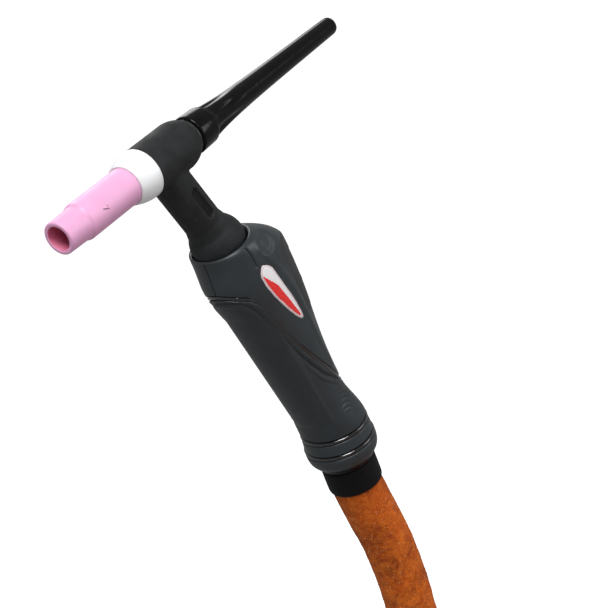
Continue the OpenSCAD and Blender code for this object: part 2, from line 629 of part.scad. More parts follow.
function tail_point(z) = let (t = hold_tilt, b = tail_bend - hold_tilt)
    [grip_below * sin(t) + z * sin(b), 0, -grip_below * cos(t) + z * cos(b)];
module sleeve_run() {
    color([0.80, 0.38, 0.10]) swept(concat([tail_point(collar_step - 0.2)], [tail_point(collar_end)],
        run_route), lead_r, 12);
}
module sleeve_coil() {
    color([0.80, 0.38, 0.10]) translate([coil_c[0], coil_c[1], lead_z - lead_r]) rotate_extrude($fn = 96)
        translate([coil_in, 0]) square([coil_out - coil_in, coil_h]);
}
module sleeve_tail() { color([0.80, 0.38, 0.10]) swept(tail_route, lead_r, 12); }
module coil_ties() {
    w = 20;
    t = 1.4;
    r0 = coil_in - 0.6;
    r1 = coil_out + 0.1;
    z0 = lead_z - lead_r - 0.1;
    z1 = z0 + coil_h + 0.2;
    color([0.06, 0.06, 0.07]) for (a = [-10, 170])
        translate([coil_c[0], coil_c[1], 0]) rotate([0, 0, a]) difference() {
        translate([r0 - t, -w / 2, z0 - t]) cube([r1 - r0 + 2 * t, w, z1 - z0 + 2 * t]);
        translate([r0, -w, z0]) cube([r1 - r0, 2 * w, z1 - z0]);
    }
}

// Frame along -X at a point, z running away from the cuff.
module along_lead(p) { translate(p) rotate([0, -90, 0]) children(); }
cuff_x = 84;
module end_cuff() {
    color([0.10, 0.10, 0.10]) along_lead([cuff_x + 28, -337, lead_z]) difference() {
        turned([[0, 0], [lead_r + 1.2, 0], [lead_r + 1.4, 0.6], [lead_r + 1.4, 26],
            [lead_r + 0.4, 28], [0, 28]]);
        translate([0, 0, -1]) cylinder(r = lead_r + fit, h = 25);
        for (q = [[power_route, power_r], [gas_route, gas_r], [control_route, control_r]])
            translate([q[0][0][2] - lead_z, q[0][0][1] + 337, 0]) cylinder(r = q[1] + fit, h = 40);
    }
}
module power_lead() { color([0.08, 0.08, 0.08]) swept(power_route, power_r, 10); }
module gas_hose() { color([0.10, 0.12, 0.16]) swept(gas_route, gas_r, 10); }
module control_lead() { color([0.12, 0.12, 0.12]) swept(control_route, control_r, 8); }

plug_at = [44, -342, -242];
boot_len = 66;
boot_r = 17.6;
module plug_boot() {
    color([0.07, 0.07, 0.08]) along_lead(plug_at) difference() {
        turned([[0, 0], [9, 0], [9.8, 1], [11.5, 14], [14, 24], [boot_r - 0.6, 32], [boot_r, 35],
            [boot_r, boot_len - 1.5], [boot_r - 1.5, boot_len], [0, boot_len]]);
        for (k = [0 : 3]) translate([0, 0, 40 + 5 * k]) difference() {
            cylinder(r = boot_r + 1, h = 2);
            translate([0, 0, -1]) cylinder(r = boot_r - 1.2, h = 4);
        }
        translate([0, 0, -1]) cylinder(r = power_r + fit, h = 9);
        translate([0, 0, boot_len - 12]) cylinder(r = 8.5 + 0.05, h = 13);
    }
}
pin_flange = 2;
key_len = 5;            // collar that carries the bayonet key
module plug_pin() {
    color([0.80, 0.64, 0.30]) along_lead(plug_at) difference() {
        union() {
            translate([0, 0, boot_len - 12]) cylinder(r = 8.5, h = 12 + pin_flange);
            translate([0, 0, boot_len]) cylinder(r = pin_d / 2, h = pin_flange + pin_len);
            translate([0, 0, boot_len]) cylinder(r = pin_d / 2 + 1.2, h = pin_flange + key_len);
            translate([0, -2, boot_len]) cube([pin_d / 2 + 2.4, 4, pin_flange + key_len]);
        }
        translate([0, 0, boot_len + pin_flange + 6]) cylinder(r = 1.6, h = pin_len);
    }
}
nut_at = [-10, -302, -250];
nut_bore_r = 5.75;
module gas_nipple() {
    color([0.78, 0.62, 0.30]) along_lead(nut_at) turned([[1.6, 0], [3.2, 0], [3.2, 4.2], [5, 4.2],
        [5, 5.6], [3, 7.6], [1.6, 7.6]]);
}
module gas_nut() {
    color([0.78, 0.62, 0.30]) along_lead(nut_at) difference() {
        translate([0, 0, 1.5]) cylinder(r = 9.5, h = 18.5, $fn = 6);
        translate([0, 0, 0]) cylinder(r = 3.2 + 0.08, h = 20);
        translate([0, 0, 4.1]) cylinder(r = nut_bore_r + 0.2, h = 4);
        translate([0, 0, 8]) cylinder(r = nut_bore_r, h = 20);
    }
}
control_at = [-14, -278, -251.5];
module control_plug() {
    color([0.09, 0.09, 0.10]) along_lead(control_at) difference() {
        turned([[0, 0], [4.4, 0], [5, 10], [7.6, 13], [8.2, 14], [8.2, 38], [0, 38]]);
        translate([0, 0, 30]) difference() {
            cylinder(r = 6.6, h = 10);
            for (k = [0 : 4]) rotate([0, 0, k * 60]) translate([4, 0, -1]) cylinder(r = 0.9, h = 8, $fn = 16);
        }
    }
}

torch_cover();
head_core();
neck_tube();
neck_seat();
collet_body();
collet();
electrode();
nozzle();
heat_shield();
cap_seal();
back_cap();
handle_shell_left();
handle_shell_right();
shell_screws();
grip_skin_sleeve();
badges();
switch_panel();
button_upper();
button_lower();
switch_board();
microswitches();
cable_joint();
power_hose();
control_wires();
tail_ring();
tail_band_front();
tail_band_rear();
knuckle_ball();
cable_collar();
sleeve_run();
sleeve_coil();
sleeve_tail();
coil_ties();
end_cuff();
power_lead();
plug_boot();
plug_pin();
gas_hose();
gas_nipple();
gas_nut();
control_lead();
control_plug();
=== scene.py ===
"""A TIG welding torch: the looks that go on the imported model.

Each operator makes one piece or a group of like pieces from the sizes and finishes in the
sidebar panel. Lengths below are in millimetres until a mesh is made, and then in metres.
"""

import json
import math

import bpy
import bmesh
from mathutils import Matrix, Vector, noise
from mathutils.kdtree import KDTree


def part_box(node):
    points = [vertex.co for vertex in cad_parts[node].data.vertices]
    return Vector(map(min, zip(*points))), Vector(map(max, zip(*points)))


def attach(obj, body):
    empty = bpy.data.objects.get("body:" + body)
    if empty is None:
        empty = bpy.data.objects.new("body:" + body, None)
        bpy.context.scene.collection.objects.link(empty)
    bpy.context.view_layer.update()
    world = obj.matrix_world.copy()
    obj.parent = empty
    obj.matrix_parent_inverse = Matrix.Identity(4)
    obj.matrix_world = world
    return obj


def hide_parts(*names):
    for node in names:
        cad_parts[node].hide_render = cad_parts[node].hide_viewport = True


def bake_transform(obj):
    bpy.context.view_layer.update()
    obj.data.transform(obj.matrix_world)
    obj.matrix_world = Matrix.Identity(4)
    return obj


bl_info = {
    "name": "TIG Torch",
    "version": (1, 0, 0),
    "blender": (4, 5, 0),
    "location": "View3D > Sidebar > Torch",
    "description": "Builds the surfaces and finishes of a TIG welding torch on its packed model",
    "category": "Object",
}

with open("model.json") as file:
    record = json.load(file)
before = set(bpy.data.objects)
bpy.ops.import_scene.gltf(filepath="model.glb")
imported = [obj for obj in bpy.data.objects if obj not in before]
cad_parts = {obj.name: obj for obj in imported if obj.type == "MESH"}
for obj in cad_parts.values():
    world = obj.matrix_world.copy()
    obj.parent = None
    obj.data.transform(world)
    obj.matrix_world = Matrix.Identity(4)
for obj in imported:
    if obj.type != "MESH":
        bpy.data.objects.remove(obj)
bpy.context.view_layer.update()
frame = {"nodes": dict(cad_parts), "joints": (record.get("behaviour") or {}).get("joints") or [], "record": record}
NODES = frame["nodes"]
JOINTS = {joint["name"]: joint for joint in frame["joints"]}
MOUNTS = {mount["name"]: mount for mount in frame["record"]["mounts"]}
MM = 0.001
TAU = 2 * math.pi


# ---- sizes and finishes -----------------------------------------------------------------

def length_property(name, default_mm, description):
    return bpy.props.FloatProperty(
        name=name, description=description, default=default_mm * MM, unit="LENGTH", precision=5)


def colour_property(name, default, description):
    return bpy.props.FloatVectorProperty(
        name=name, description=description, default=default, size=3, min=0, max=1, subtype="COLOR")


def node_width(node, axis):
    low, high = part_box(node)
    return (high[axis] - low[axis]) / MM


class TorchSizes(bpy.types.PropertyGroup):
    """Driving sizes of the torch's surfaces."""

    grip_above: length_property("Grip to neck", 74, "Grip centre up to the centre of the neck's ball")
    grip_below: length_property("Grip to knuckle", 64, "Grip centre down to the knuckle's centre")
    palm_depth: length_property("Palm depth", 48.6, "Front-to-back depth at the palm")
    palm_width: length_property("Palm width", 37, "Side-to-side width at the palm")
    waist: length_property("Waist diameter", 29.2, "Diameter of the handle's waist")
    ball: length_property("Neck ball diameter", 26.6, "Diameter of the ball at the neck's foot")
    ring: length_property("Tail ring diameter", 37.4, "Outer diameter of the tail ring")
    skin: length_property("Skin thickness", 1.2, "Thickness of the soft grip skin")
    nozzle: length_property("Nozzle diameter", node_width("nozzle", 1), "Outer diameter of the nozzle")
    bore: length_property("Nozzle bore", 11.1, "Bore of the nozzle")
    lead: length_property("Lead diameter", 27, "Diameter of the leather-sleeved lead")
    ripple: length_property("Ripple height", 0.2, "Height of the grip's ripples")


class TorchFinishes(bpy.types.PropertyGroup):
    """Base colours of the torch's finishes."""

    hard_grey: colour_property("Hard shell", (0.026, 0.032, 0.036), "Moulded handle shell")
    soft_grey: colour_property("Soft skin", (0.022, 0.027, 0.031), "Soft grip skin")
    rubber: colour_property("Head rubber", (0.014, 0.015, 0.016), "Rubber over head and neck")
    ceramic: colour_property("Ceramic", (0.80, 0.40, 0.63), "Fired alumina nozzle")
    gasket: colour_property("Gasket", (0.86, 0.87, 0.88), "Heat shield gasket")
    gloss_black: colour_property("Gloss black", (0.003, 0.003, 0.003), "Cap and glossy rings")
    leather: colour_property("Leather", (0.50, 0.072, 0.004), "Split leather of the sleeve")
    brass: colour_property("Brass", (0.70, 0.50, 0.22), "Turned brass")
    copper: colour_property("Copper", (0.66, 0.30, 0.16), "Drawn copper")
    red: colour_property("Badge red", (0.82, 0.018, 0.014), "Lower half of the badge")


def sizes():
    return bpy.context.scene.torch_sizes


def finishes():
    return bpy.context.scene.torch_finishes


# ---- frames of the torch ----------------------------------------------------------------

GRIP_AXIS = Vector(MOUNTS["hand_grip"]["axis"])
HOLD_TILT = math.atan2(-GRIP_AXIS.x, GRIP_AXIS.z)
GRIP_ABOVE = 74         # grip centre up to the centre of the neck's ball
NECK_LEAN = math.radians(11.5)
HEAD_ANGLE = math.radians(110)
TAIL_BEND = math.radians(7)
BULB_X = -9.8
HEAD_CENTRE = Vector(JOINTS["cap_turn"]["pos_m"]) / MM
KNUCKLE_CENTRE = Vector(JOINTS["knuckle_tilt"]["pos_m"]) / MM


def turn_y(angle):
    return Matrix.Rotation(angle, 4, "Y")


# Frames in millimetres: each maps its own points to the row frame.
HELD = turn_y(-HOLD_TILT)
NECK = HELD @ Matrix.Translation((BULB_X, 0, GRIP_ABOVE)) @ turn_y(-NECK_LEAN)
HEAD = Matrix.Translation(HEAD_CENTRE) @ turn_y(HEAD_ANGLE - NECK_LEAN - HOLD_TILT)
TAIL = Matrix.Translation(KNUCKLE_CENTRE) @ turn_y(TAIL_BEND - HOLD_TILT)
LEVEL = Matrix.Identity(4)


# ---- small helpers ----------------------------------------------------------------------

def mix(a, b, t):
    return a + (b - a) * t


def smooth(t):
    t = min(1.0, max(0.0, t))
    return t * t * (3 - 2 * t)


def bump_at(distance, width):
    """1 on a line, falling smoothly to 0 at width from it."""
    return smooth(1 - abs(distance) / width)


def mesh_piece(name, points, faces, place=LEVEL, smooth_faces=True):
    """A mesh object from points in millimetres in the frame `place`, set in metres."""
    mesh = bpy.data.meshes.new(name)
    mesh.from_pydata([tuple((place @ Vector(p)) * MM) for p in points], [], faces)
    mesh.validate()
    if smooth_faces:
        mesh.shade_smooth()
    piece = bpy.data.objects.new(name, mesh)
    bpy.context.scene.collection.objects.link(piece)
    return piece


def face_outwards(piece):
    bm = bmesh.new()
    bm.from_mesh(piece.data)
    bmesh.ops.remove_doubles(bm, verts=bm.verts, dist=1e-7)
    bmesh.ops.recalc_face_normals(bm, faces=bm.faces)
    bm.to_mesh(piece.data)
    bm.free()


def grid_faces(rows, columns, wrap_rows=False, wrap_columns=True):
    """Quads over rows of points that each have `columns` points."""
    faces = []
    for i in range(rows if wrap_rows else rows - 1):
        for j in range(columns if wrap_columns else columns - 1):
            ni = (i + 1) % rows
            nj = (j + 1) % columns
            faces.append((i * columns + j, i * columns + nj, ni * columns + nj, ni * columns + j))
    return faces


def crease(piece, angle=40):
    piece.data.set_sharp_from_angle(angle=math.radians(angle))


def rounded(outline, radius, steps=4):
    """The outline with each inner corner rounded off; points may carry their own radius."""
    result = []
    count = len(outline)
    for i, point in enumerate(outline):
        here = Vector(point[:2])
        own = point[2] if len(point) > 2 else radius
        before = Vector(outline[i - 1][:2])
        after = Vector(outline[(i + 1) % count][:2])
        to_before = before - here
        to_after = after - here
        reach = min(own, to_before.length * 0.45, to_after.length * 0.45)
        if reach < 1e-4:
            result.append(tuple(here))
            continue
        start = here + to_before.normalized() * reach
        end = here + to_after.normalized() * reach
        for k in range(steps + 1):
            t = k / steps
            result.append(tuple(start * (1 - t) ** 2 + here * 2 * t * (1 - t) + end * t ** 2))
    return result


def lathe(name, outline, place, radius=0.4, segments=128, dent=None, angle=40):
    """A closed turned solid: `outline` is a loop of (radius, z) with every radius above 0."""
    loop = rounded(outline, radius)
    points = []
    for r, z in loop:
        for j in range(segments):
            a = TAU * j / segments
            own = r - (dent(r, z, a) if dent else 0)
            points.append((own * math.cos(a), own * math.sin(a), z))
    piece = mesh_piece(name, points, grid_faces(len(loop), segments, wrap_rows=True), place)
    face_outwards(piece)
    crease(piece, angle)
    return piece


def ride_as(piece, body, node_names, material):
    """Finishes a piece: its body, the nodes it stands for and its material."""
    if material is not None:
        piece.data.materials.clear()
        piece.data.materials.append(material)
    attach(piece, body)
    if node_names:
        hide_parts(*node_names)
    return piece


# ---- finishes ---------------------------------------------------------------------------

class Finish:
    """Builds one procedural material on Object coordinates."""

    def __init__(self, name, roughness, metallic=0.0, coat=0.0, coat_roughness=0.1, sheen=0.0,
                 subsurface=0.0, specular=0.5):
        self.material = bpy.data.materials.new(name)
        self.material.use_nodes = True
        self.tree = self.material.node_tree
        self.shader = self.tree.nodes["Principled BSDF"]
        self.set("Roughness", roughness)
        self.set("Metallic", metallic)
        self.set("Coat Weight", coat)
        self.set("Coat Roughness", coat_roughness)
        self.set("Sheen Weight", sheen)
        self.set("Specular IOR Level", specular)
        if subsurface:
            self.set("Subsurface Weight", subsurface)
            self.set("Subsurface Scale", 0.002)
        self.place = self.tree.nodes.new("ShaderNodeTexCoord").outputs["Object"]
        self.normal = None

    def set(self, socket, value):
        self.shader.inputs[socket].default_value = value

    def link(self, source, target):
        self.tree.links.new(source, target)

    def speckle(self, scale, detail=4.0, roughness=0.55, distortion=0.0, place=None):
        node = self.tree.nodes.new("ShaderNodeTexNoise")
        node.inputs["Scale"].default_value = scale
        node.inputs["Detail"].default_value = detail
        node.inputs["Roughness"].default_value = roughness
        node.inputs["Distortion"].default_value = distortion
        self.link(place or self.place, node.inputs["Vector"])
        return node.outputs["Fac"]

    def spread(self, value, low, high, out_low, out_high):
        node = self.tree.nodes.new("ShaderNodeMapRange")
        node.inputs["From Min"].default_value = low
        node.inputs["From Max"].default_value = high
        node.inputs["To Min"].default_value = out_low
        node.inputs["To Max"].default_value = out_high
        self.link(value, node.inputs["Value"])
        return node.outputs["Result"]

    def blend_colours(self, factor, first, second):
        node = self.tree.nodes.new("ShaderNodeMix")
        node.data_type = "RGBA"
        self.link(factor, node.inputs["Factor"])
        for socket, value in ((node.inputs["A"], first), (node.inputs["B"], second)):
            if isinstance(value, bpy.types.NodeSocket):
                self.link(value, socket)
            else:
                socket.default_value = (*value, 1)
        return node.outputs["Result"]

    def colour(self, source):
        if isinstance(source, bpy.types.NodeSocket):
            self.link(source, self.shader.inputs["Base Color"])
        else:
            self.set("Base Color", (*source, 1))

    def roughen(self, value, low, high):
        self.link(self.spread(value, 0.3, 0.7, low, high), self.shader.inputs["Roughness"])

    def emboss(self, height, distance, strength=1.0):
        node = self.tree.nodes.new("ShaderNodeBump")
        node.inputs["Distance"].default_value = distance
        node.inputs["Strength"].default_value = strength
        self.link(height, node.inputs["Height"])
        if self.normal is not None:
            self.link(self.normal, node.inputs["Normal"])
        self.normal = node.outputs["Normal"]
        self.link(self.normal, self.shader.inputs["Normal"])


def shade(colour, factor):
    return tuple(min(1.0, c * factor) for c in colour)


FINISHES = {}


def finish(name):
    """The named material, made the first time it is asked for."""
    if name not in FINISHES:
        FINISHES[name] = FINISH_MAKERS[name]()
    return FINISHES[name]


def moulded(name, colour, roughness, grain, grain_height, mottle=0.12, sheen=0.0, specular=0.5):
    """Moulded plastic or rubber: faint cloudy colour, uneven sheen and a fine spark grain."""
    f = Finish(name, roughness, sheen=sheen, specular=specular)
    cloud = f.speckle(70, 5)
    f.colour(f.blend_colours(f.spread(cloud, 0.35, 0.68, 0, 1), shade(colour, 1 - mottle),
                             shade(colour, 1 + mottle)))
    f.roughen(f.speckle(160, 4), roughness - 0.05, roughness + 0.06)
    f.emboss(f.speckle(grain, 3, 0.6), grain_height)
    return f.material


def make_hard_shell():
    return moulded("Satin charcoal shell", finishes().hard_grey, 0.36, 3600, 0.00003, specular=0.38)


def make_soft_skin():
    return moulded("Soft charcoal skin", finishes().soft_grey, 0.40, 3000, 0.00004, specular=0.36)


def make_head_rubber():
    f = Finish("Head rubber", 0.62, specular=0.22)
    base = finishes().rubber
    cloud = f.speckle(110, 6, 0.6)
    tint = f.blend_colours(f.spread(cloud, 0.36, 0.66, 0, 1), shade(base, 0.78), shade(base, 1.35))
    dust = f.spread(f.speckle(420, 5, 0.7), 0.58, 0.74, 0, 0.25)
    dusty = f.blend_colours(dust, tint, (0.060, 0.061, 0.062))
    shade_in_recess = f.tree.nodes.new("ShaderNodeVertexColor")
    shade_in_recess.layer_name = "recess"
    # painted shade: the neck's recesses are painted near black where shade falls in them
    f.colour(f.blend_colours(shade_in_recess.outputs["Color"], dusty, (0.002, 0.002, 0.002)))
    f.roughen(f.speckle(240, 5), 0.55, 0.74)
    f.emboss(f.speckle(900, 5, 0.65), 0.00008)
    f.emboss(f.speckle(3200, 3), 0.00003)
    return f.material


def make_ceramic():
    f = Finish("Fired pink ceramic", 0.40, subsurface=0.15, specular=0.45)
    base = finishes().ceramic
    cloud = f.speckle(90, 4)
    tint = f.blend_colours(f.spread(cloud, 0.35, 0.65, 0, 1), shade(base, 0.955), shade(base, 1.03))
    grit = f.spread(f.speckle(2600, 3), 0.62, 0.74, 0, 0.16)
    f.colour(f.blend_colours(grit, tint, shade(base, 0.72)))
    f.set("Subsurface Radius", (1.0, 0.45, 0.6))
    f.roughen(f.speckle(300, 4), 0.34, 0.48)
    f.emboss(f.speckle(1800, 4), 0.00003)
    return f.material


def make_shaded_bore():
    """The nozzle's bore: a darker, rosier copy of the ceramic, painted shade inside the bore."""
    f = Finish("Shaded rosy nozzle bore", 0.5, subsurface=0.2, specular=0.4)
    f.colour(f.blend_colours(f.spread(f.speckle(160, 4), 0.35, 0.65, 0, 1), (0.62, 0.12, 0.22),
                             (0.74, 0.22, 0.36)))
    f.set("Subsurface Radius", (1.0, 0.35, 0.5))
    f.roughen(f.speckle(300, 4), 0.42, 0.58)
    f.emboss(f.speckle(1500, 4), 0.00004)
    return f.material


def make_gasket():
    f = Finish("White gasket", 0.34, subsurface=0.25, specular=0.5)
    base = finishes().gasket
    f.colour(f.blend_colours(f.spread(f.speckle(60, 3), 0.35, 0.65, 0, 1), shade(base, 0.97), base))
    f.set("Subsurface Radius", (1.0, 1.0, 1.0))
    f.roughen(f.speckle(220, 4), 0.28, 0.42)
    f.emboss(f.speckle(1500, 3), 0.00002)
    return f.material


def make_gloss_black():
    f = Finish("Gloss black", 0.16, specular=0.16)
    base = finishes().gloss_black
    f.colour(f.blend_colours(f.spread(f.speckle(120, 3), 0.3, 0.7, 0, 1), shade(base, 0.8),
                             shade(base, 1.3)))
    f.roughen(f.speckle(380, 6, 0.7), 0.10, 0.22)
    f.emboss(f.speckle(140, 2), 0.00005)
    return f.material


def make_band_black():
    f = Finish("Glossy band", 0.09, coat=1.0, coat_roughness=0.03)
    f.colour(f.blend_colours(f.speckle(120, 3), (0.002, 0.002, 0.002), (0.005, 0.005, 0.005)))
    f.roughen(f.speckle(380, 5), 0.06, 0.14)
    f.emboss(f.speckle(210, 2), 0.00010)
    return f.material


def make_knuckle_black():
    return moulded("Polished knuckle", (0.002, 0.002, 0.002), 0.34, 900, 0.00002, specular=0.12)


def make_panel_black():
    return moulded("Dark switch panel", (0.018, 0.019, 0.021), 0.50, 3000, 0.00004)


def make_button_black():
    return moulded("Button black", (0.026, 0.027, 0.029), 0.42, 4200, 0.00003)


def make_collar_black():
    return moulded("Matte black collar", (0.0035, 0.0035, 0.004), 0.6, 2600, 0.00005,
                   mottle=0.2, specular=0.15)


def make_hose_rubber():
    return moulded("Black hose jacket", (0.016, 0.016, 0.017), 0.44, 2200, 0.00004)


def make_hose_blue():
    return moulded("Blue-black gas hose", (0.018, 0.026, 0.050), 0.42, 2200, 0.00004)


def make_seal_rubber():
    return moulded("Seal rubber", (0.012, 0.012, 0.012), 0.35, 3000, 0.00002)


def make_wire_red():
    return moulded("Red wire", (0.42, 0.03, 0.025), 0.38, 2400, 0.00002)


def make_board_green():
    return moulded("Board green", (0.02, 0.15, 0.06), 0.32, 900, 0.00004)


def turned_metal(name, colour, roughness=0.26):
    """Turned metal: fine tool marks, faint tarnish and uneven polish."""
    f = Finish(name, roughness, metallic=1.0)
    tarnish = f.speckle(150, 6, 0.6)
    f.colour(f.blend_colours(f.spread(tarnish, 0.4, 0.72, 0, 1), colour, shade(colour, 0.62)))
    f.roughen(f.speckle(700, 5), roughness - 0.07, roughness + 0.16)
    f.emboss(f.speckle(4500, 2), 0.00001)
    return f.material


def make_brass():
    return turned_metal("Turned brass", finishes().brass)


def make_copper():
    return turned_metal("Drawn copper", finishes().copper, 0.32)


def make_tungsten():
    return turned_metal("Ground tungsten", (0.42, 0.42, 0.44), 0.30)


def make_blackened():
    return turned_metal("Blackened steel", (0.10, 0.10, 0.11), 0.38)


def make_leather():
    """Split leather: patchy tan, rust and straw, with a short raised nap."""
    f = Finish("Split leather", 0.88, sheen=0.12, specular=0.12)
    base = finishes().leather
    f.set("Sheen Roughness", 0.6)
    f.set("Sheen Tint", (1.0, 0.62, 0.30, 1))
    broad = f.speckle(38, 5, 0.62, 0.6)
    patch = f.speckle(120, 6, 0.7, 0.8)
    nap = f.speckle(780, 6, 0.8, 1.2)
    fibre = f.speckle(2300, 4, 0.7)
    rust = f.blend_colours(f.spread(broad, 0.38, 0.60, 0, 1), (0.225, 0.022, 0.001), base)
    tan = f.blend_colours(f.spread(patch, 0.42, 0.66, 0, 0.9), rust, (0.74, 0.155, 0.012))
    straw = f.blend_colours(f.spread(nap, 0.50, 0.68, 0, 0.75), tan, (0.90, 0.27, 0.035))
    dark = f.blend_colours(f.spread(nap, 0.30, 0.47, 0.75, 0), straw, (0.105, 0.010, 0.001))
    f.colour(f.blend_colours(f.spread(fibre, 0.58, 0.72, 0, 0.4), dark, (1.0, 0.46, 0.12)))
    f.roughen(nap, 0.80, 0.97)
    f.emboss(patch, 0.0009, 0.7)
    f.emboss(nap, 0.00055, 0.8)
    f.emboss(fibre, 0.00018, 0.8)
    return f.material


def make_webbing():
    """Woven strap: crossing ribs, dull and slightly dusty."""
    f = Finish("Woven strap", 0.8, sheen=0.2)
    wave = f.tree.nodes.new("ShaderNodeTexWave")
    wave.inputs["Scale"].default_value = 420
    wave.inputs["Distortion"].default_value = 0.4
    f.link(f.place, wave.inputs["Vector"])
    f.colour(f.blend_colours(wave.outputs["Fac"], (0.012, 0.012, 0.013), (0.040, 0.040, 0.043)))
    f.emboss(wave.outputs["Fac"], 0.0003)
    f.emboss(f.speckle(1600, 3), 0.0001)
    return f.material


def make_badge_print():
    """Printed badge: white above and red below a slanting line, with a pale border."""
    f = Finish("Printed badge", 0.22, coat=0.5, coat_roughness=0.08)
    paint = f.tree.nodes.new("ShaderNodeVertexColor")
    paint.layer_name = "print"
    wear = f.spread(f.speckle(800, 4), 0.66, 0.80, 0, 0.07)
    f.colour(f.blend_colours(wear, paint.outputs["Color"], (0.7, 0.66, 0.66)))
    f.roughen(f.speckle(400, 4), 0.16, 0.32)
    f.emboss(f.speckle(900, 3), 0.00002)
    return f.material


def make_size_ink():
    return moulded("Size mark ink", (0.16, 0.05, 0.09), 0.6, 2000, 0.00001)


def make_stitch_thread():
    f = Finish("Waxed thread", 0.6, sheen=0.2)
    f.colour(f.blend_colours(f.speckle(1500, 3), (0.50, 0.33, 0.16), (0.80, 0.60, 0.36)))
    f.emboss(f.speckle(5200, 3), 0.00006)
    return f.material


def make_nap_fibre():
    f = Finish("Loose leather fibre", 0.85, sheen=0.2, specular=0.2)
    f.colour(f.blend_colours(f.speckle(900, 3), (0.62, 0.16, 0.02), (1.0, 0.62, 0.25)))
    f.emboss(f.speckle(5000, 2), 0.00003)
    return f.material


FINISH_MAKERS = {
    "hard_shell": make_hard_shell, "soft_skin": make_soft_skin, "head_rubber": make_head_rubber,
    "ceramic": make_ceramic, "bore": make_shaded_bore, "gasket": make_gasket, "gloss_black": make_gloss_black,
    "knuckle": make_knuckle_black, "band": make_band_black, "panel": make_panel_black,
    "button": make_button_black, "collar": make_collar_black,
    "hose": make_hose_rubber, "hose_blue": make_hose_blue, "seal": make_seal_rubber,
    "wire": make_wire_red, "board": make_board_green, "brass": make_brass, "copper": make_copper,
    "tungsten": make_tungsten, "blackened": make_blackened, "leather": make_leather,
    "webbing": make_webbing, "badge": make_badge_print, "ink": make_size_ink,
    "thread": make_stitch_thread, "nap": make_nap_fibre,
}


# ---- handle outline ---------------------------------------------------------------------

TAIL_TOP = 14.0        # tail frame height where the handle meets the tail ring
WAIST_Z = -29.0
PALM_SHIFT = -2.4
SWELL_DEPTH = 1.35
SWELL_WIDTH = 1.2
SQUARENESS = 2.2


class Handle:
    """The handle's outline, in its own frame: z up its axis, x to the back, y to the left."""

    def __init__(self):
        s = sizes()
        self.above = s.grip_above / MM
        self.below = s.grip_below / MM
        self.depth = s.palm_depth / MM
        self.width = s.palm_width / MM
        self.waist = s.waist / MM
        self.flare = s.ring / MM / 2 - 1.7
        self.mouth = s.ball / MM / 2 + 2.3
        self.skin = s.skin / MM
        self.palm_z = self.above - 18
        self.mouth_z = self.above - 2
        self.foot_z = TAIL_TOP - self.below

    def up_top(self, z):
        return min(1.0, max(0.0, (z - self.palm_z) / (self.mouth_z - self.palm_z)))

    def down_tail(self, z):
        return (WAIST_Z - z) / (WAIST_Z - self.foot_z)

    def back_x(self, z):
        return mix(BULB_X + self.mouth, PALM_SHIFT + self.depth / 2, 1 - self.up_top(z) ** 1.5)

    def front_x(self, z):
        return mix(PALM_SHIFT - self.depth / 2, BULB_X - self.mouth, self.up_top(z))

    def half_depth(self, z):
        if z < WAIST_Z:
            return mix(self.waist / 2, self.flare, smooth(self.down_tail(z)))
        if z < self.palm_z:
            up = (z - WAIST_Z) / (self.palm_z - WAIST_Z)
            return mix(self.waist / 2, self.depth / 2, smooth(up ** SWELL_DEPTH))
        return (self.back_x(z) - self.front_x(z)) / 2

    def half_width(self, z):
        if z < WAIST_Z:
            return self.half_depth(z)
        if z < self.palm_z:
            up = (z - WAIST_Z) / (self.palm_z - WAIST_Z)
            return mix(self.waist / 2, self.width / 2, smooth(up ** SWELL_WIDTH))
        return mix(self.mouth, self.width / 2, math.sqrt(max(0.0, 1 - self.up_top(z) ** 2)))

    def centre_x(self, z):
        if z < self.palm_z:
            return PALM_SHIFT * smooth((z - 17) / (self.palm_z - 17))
        return (self.back_x(z) + self.front_x(z)) / 2

    def point(self, z, a, inset=0.0):
        """Point at height z and angle a in degrees: 0 back, 90 left flank, 180 front."""
        def root(v):
            return math.copysign(abs(v) ** (2 / SQUARENESS), v)
        c = math.cos(math.radians(a))
        s = math.sin(math.radians(a))
        x = self.centre_x(z) + (self.half_depth(z) - inset) * root(c)
        y = (self.half_width(z) - inset) * root(s)
        bend = smooth(self.down_tail(z)) if z < WAIST_Z else 0.0
        t = TAIL_BEND * bend
        spine_x = TAIL_TOP * math.sin(TAIL_BEND) * bend
        spine_z = z
        if z < WAIST_Z:
            spine_z = WAIST_Z - self.down_tail(z) * (WAIST_Z + self.below - TAIL_TOP * math.cos(TAIL_BEND))
        return Vector((spine_x + x * math.cos(t), y, spine_z - x * math.sin(t)))

    def angle_at(self, x, z):
        u = max(-1.0, min(1.0, (x - self.centre_x(z)) / self.half_depth(z)))
        return math.degrees(math.acos(math.copysign(abs(u) ** (SQUARENESS / 2), u)))

    def skin_edge(self, a):
        """Height of the soft skin's upper edge at angle a."""
        f = abs(a % 360 - 180)
        line = [(0, self.above - 20.2), (13, self.above - 21), (26, self.above - 22.8),
                (40, self.above - 25.6), (47, self.above - 29.6), (50.5, self.above - 33),
                (51.5, self.above - 38.2), (52.5, self.above - 44), (56, 20), (64, 9.7), (78, -0.9),
                (94, -12.3), (115, -23.5), (145, -30.5), (180, -33)]
        return table(line, f)


def table(rows, key):
    """Value at key on a line of (key, value) rows, held at its ends."""
    if key <= rows[0][0]:
        return rows[0][1]
    for (k0, v0), (k1, v1) in zip(rows, rows[1:]):
        if key <= k1:
            return mix(v0, v1, (key - k0) / (k1 - k0))
    return rows[-1][1]


def near_curve(points, x, z):
    """Distance from (x, z) to an open line of (x, z) points."""
    best = 1e9
    for (x0, z0), (x1, z1) in zip(points, points[1:]):
        dx, dz = x1 - x0, z1 - z0
        t = max(0.0, min(1.0, ((x - x0) * dx + (z - z0) * dz) / (dx * dx + dz * dz)))
        best = min(best, math.hypot(x - x0 - t * dx, z - z0 - t * dz))
    return best


